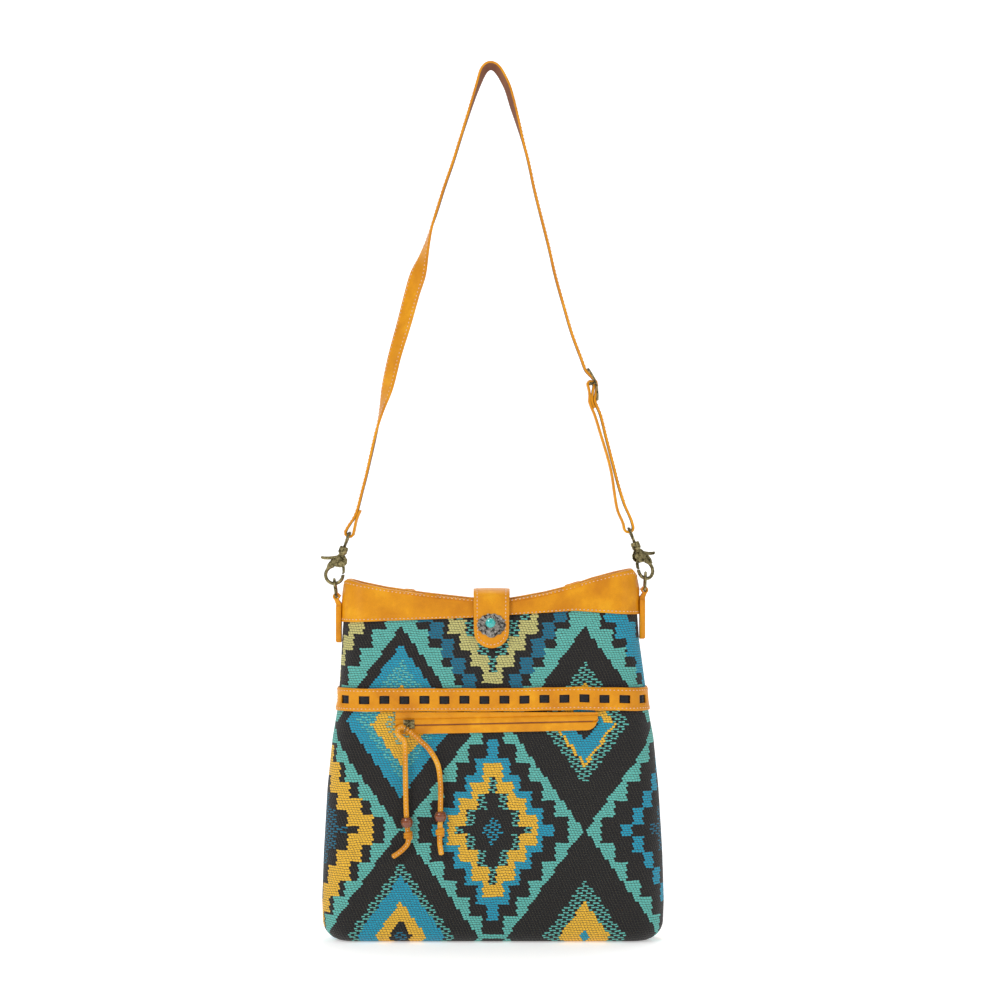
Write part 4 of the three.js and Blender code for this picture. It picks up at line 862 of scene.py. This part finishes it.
def rope(name, points, radius):
    """Round cord on a smooth curve through points in metres."""
    line = bpy.data.curves.new(name, "CURVE")
    line.dimensions = "3D"
    line.bevel_depth = radius
    line.bevel_resolution = 4
    line.use_path = False
    line.resolution_u = 8
    line.use_fill_caps = True
    spline = line.splines.new("BEZIER")
    spline.bezier_points.add(len(points) - 1)
    for knot, point in zip(spline.bezier_points, points):
        knot.co = point
        knot.handle_left_type = knot.handle_right_type = "AUTO"
    made = bpy.data.objects.new(name, line)
    bpy.context.scene.collection.objects.link(made)
    return made


# Turned bead wood: dark and red-brown grain bands 1.2 mm apart under a clear varnish.
wood = material("polished_brown_wood")
tree = wood.node_tree
spot = node(tree, "TexCoord")["Object"]
rings = node(tree, "TexWave", {"Vector": spot, "Scale": 260.0, "Distortion": 6.0, "Detail": 3.0},
             bands_direction="Z")
grained = node(tree, "Mix", {0: rings["Fac"], 6: colour("#4A2010"), 7: colour("#A3521F")},
               data_type="RGBA")[2]
varnish = node(tree, "BsdfPrincipled", {"Base Color": grained, "Roughness": 0.3, "Coat Weight": 0.6,
                                        "Coat Roughness": 0.12})
node(tree, "OutputMaterial", {"Surface": varnish["BSDF"]})

KNOT_TURNS = 4.4 * math.pi
for side, strand, knot_at in (("left", LEFT_STRAND, (-0.55, -91.2)), ("right", RIGHT_STRAND, (25.2, -88.7))):
    points = smoothed([(PULL + Vector((x, 0, z))) / 1000 for x, z in strand])
    lace = flat_lace("pull_lace_" + side, points)
    stitches("lace_stitches_" + side, "zip_pull", [[p - Vector((0, 0.0011, 0)) for p in points]], 2.6, 1.3)
    bead = cast_copy("bead_" + side, "zip_pull", wood, 0.0003, 10)
    middle = (PULL + Vector((knot_at[0], 0, knot_at[1]))) / 1000
    turns = [middle + Vector((0.0022 * math.cos(a), 0.0020 * math.sin(a), 0.0024 * (2 * a / KNOT_TURNS - 1)))
             for a in np.linspace(0, KNOT_TURNS, 26)]
    knot = rope("knot_turns_" + side, turns, 0.0015)
    fit(lace, thong, "zip_pull", "pull_lace")
    fit(knot, thong, "zip_pull", "knot_" + side)
    length = sum((b - a).length for a, b in zip(points, points[1:]))
    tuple(points[0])


# Closing tab.
# A double strap of mustard leather, sewn to the back, that passes over the opening and down the front to a
# magnetic snap. Its end is round, and one row of cream stitches runs inside its edge.

TAB_X = -1.2
FLAP = [(21.7, 279.9), (21.2, 282.2), (18.4, 284.2), (12.7, 285.4), (4, 286.0), (-8, 286.0), (-16.9, 285.4),
        (-20.6, 284.2), (-22.8, 281.6), (-23.6, 277.0), (-23.94, 268), (-23.94, 261.4), (-23.94, 252.5),
        (-23.94, 239.5)]
ROUND_END = 1 - 13.5 / sum((Vector(b) - Vector(a)).length for a, b in zip(FLAP, FLAP[1:]))


def tab_place(s, t):
    """Place across (s) and down (t) the tab's outer face."""
    if t < 0.7:
        share = ROUND_END * t / 0.7
        half = 15.0 - 0.9 * share
    else:
        angle = (t - 0.7) / 0.3 * math.radians(86)
        share = ROUND_END + (1 - ROUND_END) * math.sin(angle)
        half = 14.15 * math.cos(angle)
    y, z = along(FLAP, share)
    ahead, behind = along(FLAP, min(share + 0.01, 1)), along(FLAP, max(share - 0.01, 0))
    run = Vector((0, ahead[0] - behind[0], ahead[1] - behind[1])).normalized()
    out = Vector((0, run.z, -run.y))
    crown = 1.0 - 0.5 * abs(2 * s - 1) ** 4
    point = Vector((TAB_X + (2 * s - 1) * half, y, z)) + out * crown
    return point / 1000, ((2 * s - 1) * half, share * 90)


flap = sheet("tab_leather", 24, 80, lambda s, t: tab_place(1 - s, t))
thicken(flap, 1.9, 0.5)
fit(flap, mustard, "closing_tab", "tab_flap")
down = [tab_place(0.1, t)[0] for t in np.linspace(0.04, 0.7, 60)]
up = [tab_place(0.9, t)[0] for t in np.linspace(0.7, 0.04, 60)]
end_row = [Vector((TAB_X - 11.3 * math.cos(a), -24.95, 252.5 - 10.2 * math.sin(a))) / 1000
           for a in np.linspace(0, math.pi, 40)]
stitches("tab_stitches", "closing_tab", [down + end_row[1:-1] + up], 3.0, 1.9)

plain_tab = copy_of("tab_back", "tab_back_leather")
round_edges(plain_tab, 0.5, 40)
fit(plain_tab, mustard, "bag", "tab_back")


# Concho.
# An oval cast rosette with a scalloped rim, scrolled leaves round a roped collar, and a small drop at its
# foot. It is riveted through the tab, with a turquoise cabochon in its cup.

# Antiqued silver plate: bright on the leaves, nearly black in the hollows between them.
silver = plated("antiqued_silver_plate", "#A7A39B", "#24211F", 0.34)
CONCHO = Vector((TAB_X, -25.25, 258.4))


def ridge_at(t, middle, width):
    """Height of a round ridge of one millimetre at a share of the way out."""
    return math.exp(-((t - middle) / width) ** 2)


def concho_place(s, t):
    """Relief of the rosette: round by s, from its middle (0) to its rim (1)."""
    angle = 2 * math.pi * s
    from_foot = (angle / math.pi - 1.5 + 1) % 2 - 1
    reach = t * (1 + 0.035 * math.cos(14 * angle) + 0.16 * ridge_at(from_foot, 0, 0.07))
    x, z = 11.4 * reach * math.cos(angle), 9.1 * reach * math.sin(angle)
    leaves = 0.55 * math.cos(14 * angle) * ridge_at(t, 0.82, 0.1)
    beads = 0.35 * max(math.cos(26 * angle), 0) * ridge_at(t, 0.6, 0.05)
    rope_ring = 0.6 * (1 + 0.3 * math.cos(30 * angle)) * ridge_at(t, 0.5, 0.05)
    lip = 0.25 * ridge_at(t, 0.98, 0.03)
    dish = 1.5 * (1 - t ** 2) + leaves + beads + rope_ring + lip
    return (CONCHO + Vector((x, -dish, z))) / 1000, (x, z)


rosette = sheet("concho_rosette", 224, 34, concho_place)
close_seam(rosette)
fit(rosette, silver, "closing_tab", "concho")

# Turquoise: dyed and polished, even blue-green with faint dark veins under a wet-looking gloss.
turquoise = material("polished_turquoise")
tree = turquoise.node_tree
spot = node(tree, "TexCoord")["Object"]
cloudy = node(tree, "TexNoise", {"Vector": spot, "Scale": 500.0, "Detail": 4.0})
veins = node(tree, "TexVoronoi", {"Vector": spot, "Scale": 420.0}, feature="DISTANCE_TO_EDGE")
blue_green = node(tree, "Mix", {0: cloudy["Fac"], 6: colour("#139C9C"), 7: colour("#35CFC4")},
                  data_type="RGBA")[2]
vein = node(tree, "MapRange", {"Value": veins["Distance"], "From Min": 0.0, "From Max": 0.04, "To Min": 0.5})
stone = node(tree, "VectorMath", {0: blue_green, "Scale": vein[0]}, operation="SCALE")[0]
polished = node(tree, "BsdfPrincipled", {"Base Color": stone, "Roughness": 0.14, "Coat Weight": 0.8,
                                         "Coat Roughness": 0.05, "IOR": 1.61})
node(tree, "OutputMaterial", {"Surface": polished["BSDF"]})
cast_copy("concho_stone", "closing_tab", turquoise, 0.0002, 12)


# Side tabs.
# A loop of mustard leather sewn to each side seam holds its D-ring. Its inner face is pressed 0.9 mm into the
# cloth's swell, and its cut edges are rubbed round.

for side in ("left", "right"):
    made = copy_of("side_tab_" + side, "side_tab_leather_" + side)
    skin = min(abs(v.co.x) for v in made.data.vertices)
    for v in made.data.vertices:
        if abs(v.co.x) < skin + 0.0004:
            v.co.x -= math.copysign(0.0009, v.co.x)
    round_edges(made, 0.4, 40)
    fit(made, mustard, "bag", "side_tab_" + side)


# Strap.
# One long mustard strap with its paler flesh side inward, drawn in a darker brown there that is partly
# painted shade. It goes through the left swivel eye, over the shoulder with a half twist on the way up,
# through the slide buckle and the right eye, and back to the buckle's bar.

STRAP = [
    (-108.3, 350.8), (-111.4, 343.4), (-112.7, 337.6), (-114, 331.7), (-114.6, 330.5), (-115.6, 329.6),
    (-116.9, 329.2), (-118.2, 329.3), (-119.4, 330), (-120.2, 331), (-120.6, 332.2), (-120.5, 333.6),
    (-117.4, 338.9), (-113.9, 344.1), (-111, 350.8), (-107.4, 364.7), (-103.2, 381.1), (-95.9, 413.3),
    (-91.2, 432.5), (-86.4, 451.7), (-80.4, 477.5), (-72.9, 503.3), (-66, 528.9), (-61.6, 543),
    (-57.4, 556.5), (-53.7, 569.6), (-50.2, 582.6), (-46, 595.7), (-39.7, 615.5), (-32.8, 635.4),
    (-24.6, 661.6), (-16.1, 688.1), (-11.6, 701.3), (-8.2, 710), (-4.4, 714.1), (0.2, 714.3), (4.3, 711),
    (8.3, 704.5), (12.3, 696), (16.7, 681), (21, 666), (25, 651.1), (29.2, 634.7), (33.6, 613.8),
    (39.5, 590), (45.5, 566.4), (50.9, 542.6), (57.6, 518.6), (64.6, 494.8), (72.4, 473.9), (75.6, 465.4),
    (78.3, 462.1), (81.2, 459.2), (83.2, 457.1), (84.3, 455.3), (84.7, 453), (84.6, 448.7), (83.7, 444.5),
    (83.2, 440.6), (88, 428.2), (91.9, 412.5), (95.9, 396.9), (98.5, 387), (102.2, 372.3), (107.5, 355.4),
    (112.7, 343.7), (114.5, 337.6), (114.6, 336.1), (114.2, 334.7), (113.2, 333.6), (111.9, 332.9),
    (110.4, 332.8), (109, 333.2), (107.9, 334.2), (107.2, 335.5), (106.1, 340.3), (101.7, 350.7),
    (99.5, 362.5), (97.1, 379.2), (95.1, 388.4), (92.8, 396.8), (88, 412.5), (83.1, 428.3), (78.8, 439.2),
    (78.9, 444.5), (78.3, 449.5), (77.3, 453.2), (77.3, 454.4), (77.9, 455.5), (78.9, 456.2), (80.2, 456.2),
    (81.3, 455.7), (81.9, 454.6), (82.4, 451.8), (81.8, 448.3), (81.1, 443.7), (81, 439.9), (83.2, 434.3),
]
# Degrees that the strap is twisted at its places from number 18 on.
TWIST = [12, 36, 42, 48, 53, 56, 30, 12, 3, 0, 0, 0, 0, -4, -10, -16, -17, -17, -17, -16, -15,
         -13, -6]
TWIST_FROM = 18


def strap_line(steps):
    """Smooth centre line of the strap through its places, with steps between each two."""
    line = []
    turned = dict(enumerate(TWIST, TWIST_FROM))
    rows = [Vector((x, z, turned.get(i, 0))) for i, (x, z) in enumerate(STRAP)]
    for i in range(len(rows) - 1):
        a, b = rows[i], rows[i + 1]
        before, after = rows[max(i - 1, 0)], rows[min(i + 2, len(rows) - 1)]
        gap = (b - a).xy.length
        into = (b - before) * gap / max((b - before).xy.length, 1e-6)
        out = (after - a) * gap / max((after - a).xy.length, 1e-6)
        for k in range(steps):
            u = k / steps
            line.append(a * (2 * u ** 3 - 3 * u ** 2 + 1) + into * (u ** 3 - 2 * u ** 2 + u)
                        + b * (3 * u ** 2 - 2 * u ** 3) + out * (u ** 3 - u ** 2))
    return line + [rows[-1]]


LINE = strap_line(5)
STRAP_HALF = 7.7


def strap_place(s, t, proud=1.0):
    """Place across (s) and along (t) the strap's outer face."""
    spot = t * (len(LINE) - 1)
    i = min(int(spot), len(LINE) - 2)
    here = LINE[i].lerp(LINE[i + 1], spot - i)
    before, after = LINE[max(i - 1, 0)], LINE[min(i + 2, len(LINE) - 1)]
    run = Vector((after.x - before.x, 0, after.y - before.y)).normalized()
    out = Matrix.Rotation(math.radians(here.z), 3, run) @ Vector((-run.z, 0, run.x))
    wide = out.cross(run)
    reach = (2 * s - 1) * STRAP_HALF
    point = Vector((here.x, 0, here.y)) + out * (proud - 0.25 * abs(2 * s - 1) ** 6) + wide * reach
    return point / 1000, (reach, t * 1100)


strap = sheet("strap_leather", 8, len(LINE) - 1, lambda s, t: strap_place(1 - s, t))
thicken(strap, 1.9, 0.35, inner=1, rim=2)
fit(strap, mustard, "strap", "shoulder_strap")
# The inner face takes the dark brown hide: the flesh side's own colour darkened by painted shade.
strap.data.materials.append(dark_brown_and_painted_shade)
strap.data.materials.append(mustard)
edges = [[strap_place(s, t, 1.05)[0] for t in np.linspace(0.03, 0.66, 900)] for s in (0.12, 0.88)]
stitches("strap_stitches", "strap", edges)


# Lining, base and snap.
# Brown cotton lines the inside. The base is a stiff leather oval, the two snap halves are nickel-plated
# steel.

# Plain cotton: a flat weave 0.5 mm apart, drawn at 1 mm so that it shows, with a matt dusty surface.
cotton = material("brown_plain_cotton")
tree = cotton.node_tree
spot = node(tree, "TexCoord")["Object"]
threads = node(tree, "TexWave", {"Vector": spot, "Scale": 320.0, "Distortion": 1.0}, bands_direction="Z")
dust = node(tree, "TexNoise", {"Vector": spot, "Scale": 300.0, "Detail": 4.0})
both = node(tree, "Math", {0: threads["Fac"], 1: dust["Fac"]}, operation="MULTIPLY")[0]
brown = node(tree, "Mix", {0: both, 6: colour("#3B3029"), 7: colour("#6A584A")}, data_type="RGBA")[2]
weft = node(tree, "Bump", {"Height": both, "Strength": 0.4, "Distance": 0.0004})
matt = node(tree, "BsdfPrincipled", {"Base Color": brown, "Roughness": 0.95, "Normal": weft[0]})
node(tree, "OutputMaterial", {"Surface": matt["BSDF"]})

for cad_node, finish in (("body_lining", cotton), ("base_panel", mustard), ("zip_tape", cotton),
                         ("zip_coil", dark_brown_and_painted_shade),
                         ("snap_base", silver), ("snap_cap", silver)):
    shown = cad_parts[cad_node]
    shown.data.materials.clear()
    shown.data.materials.append(finish)
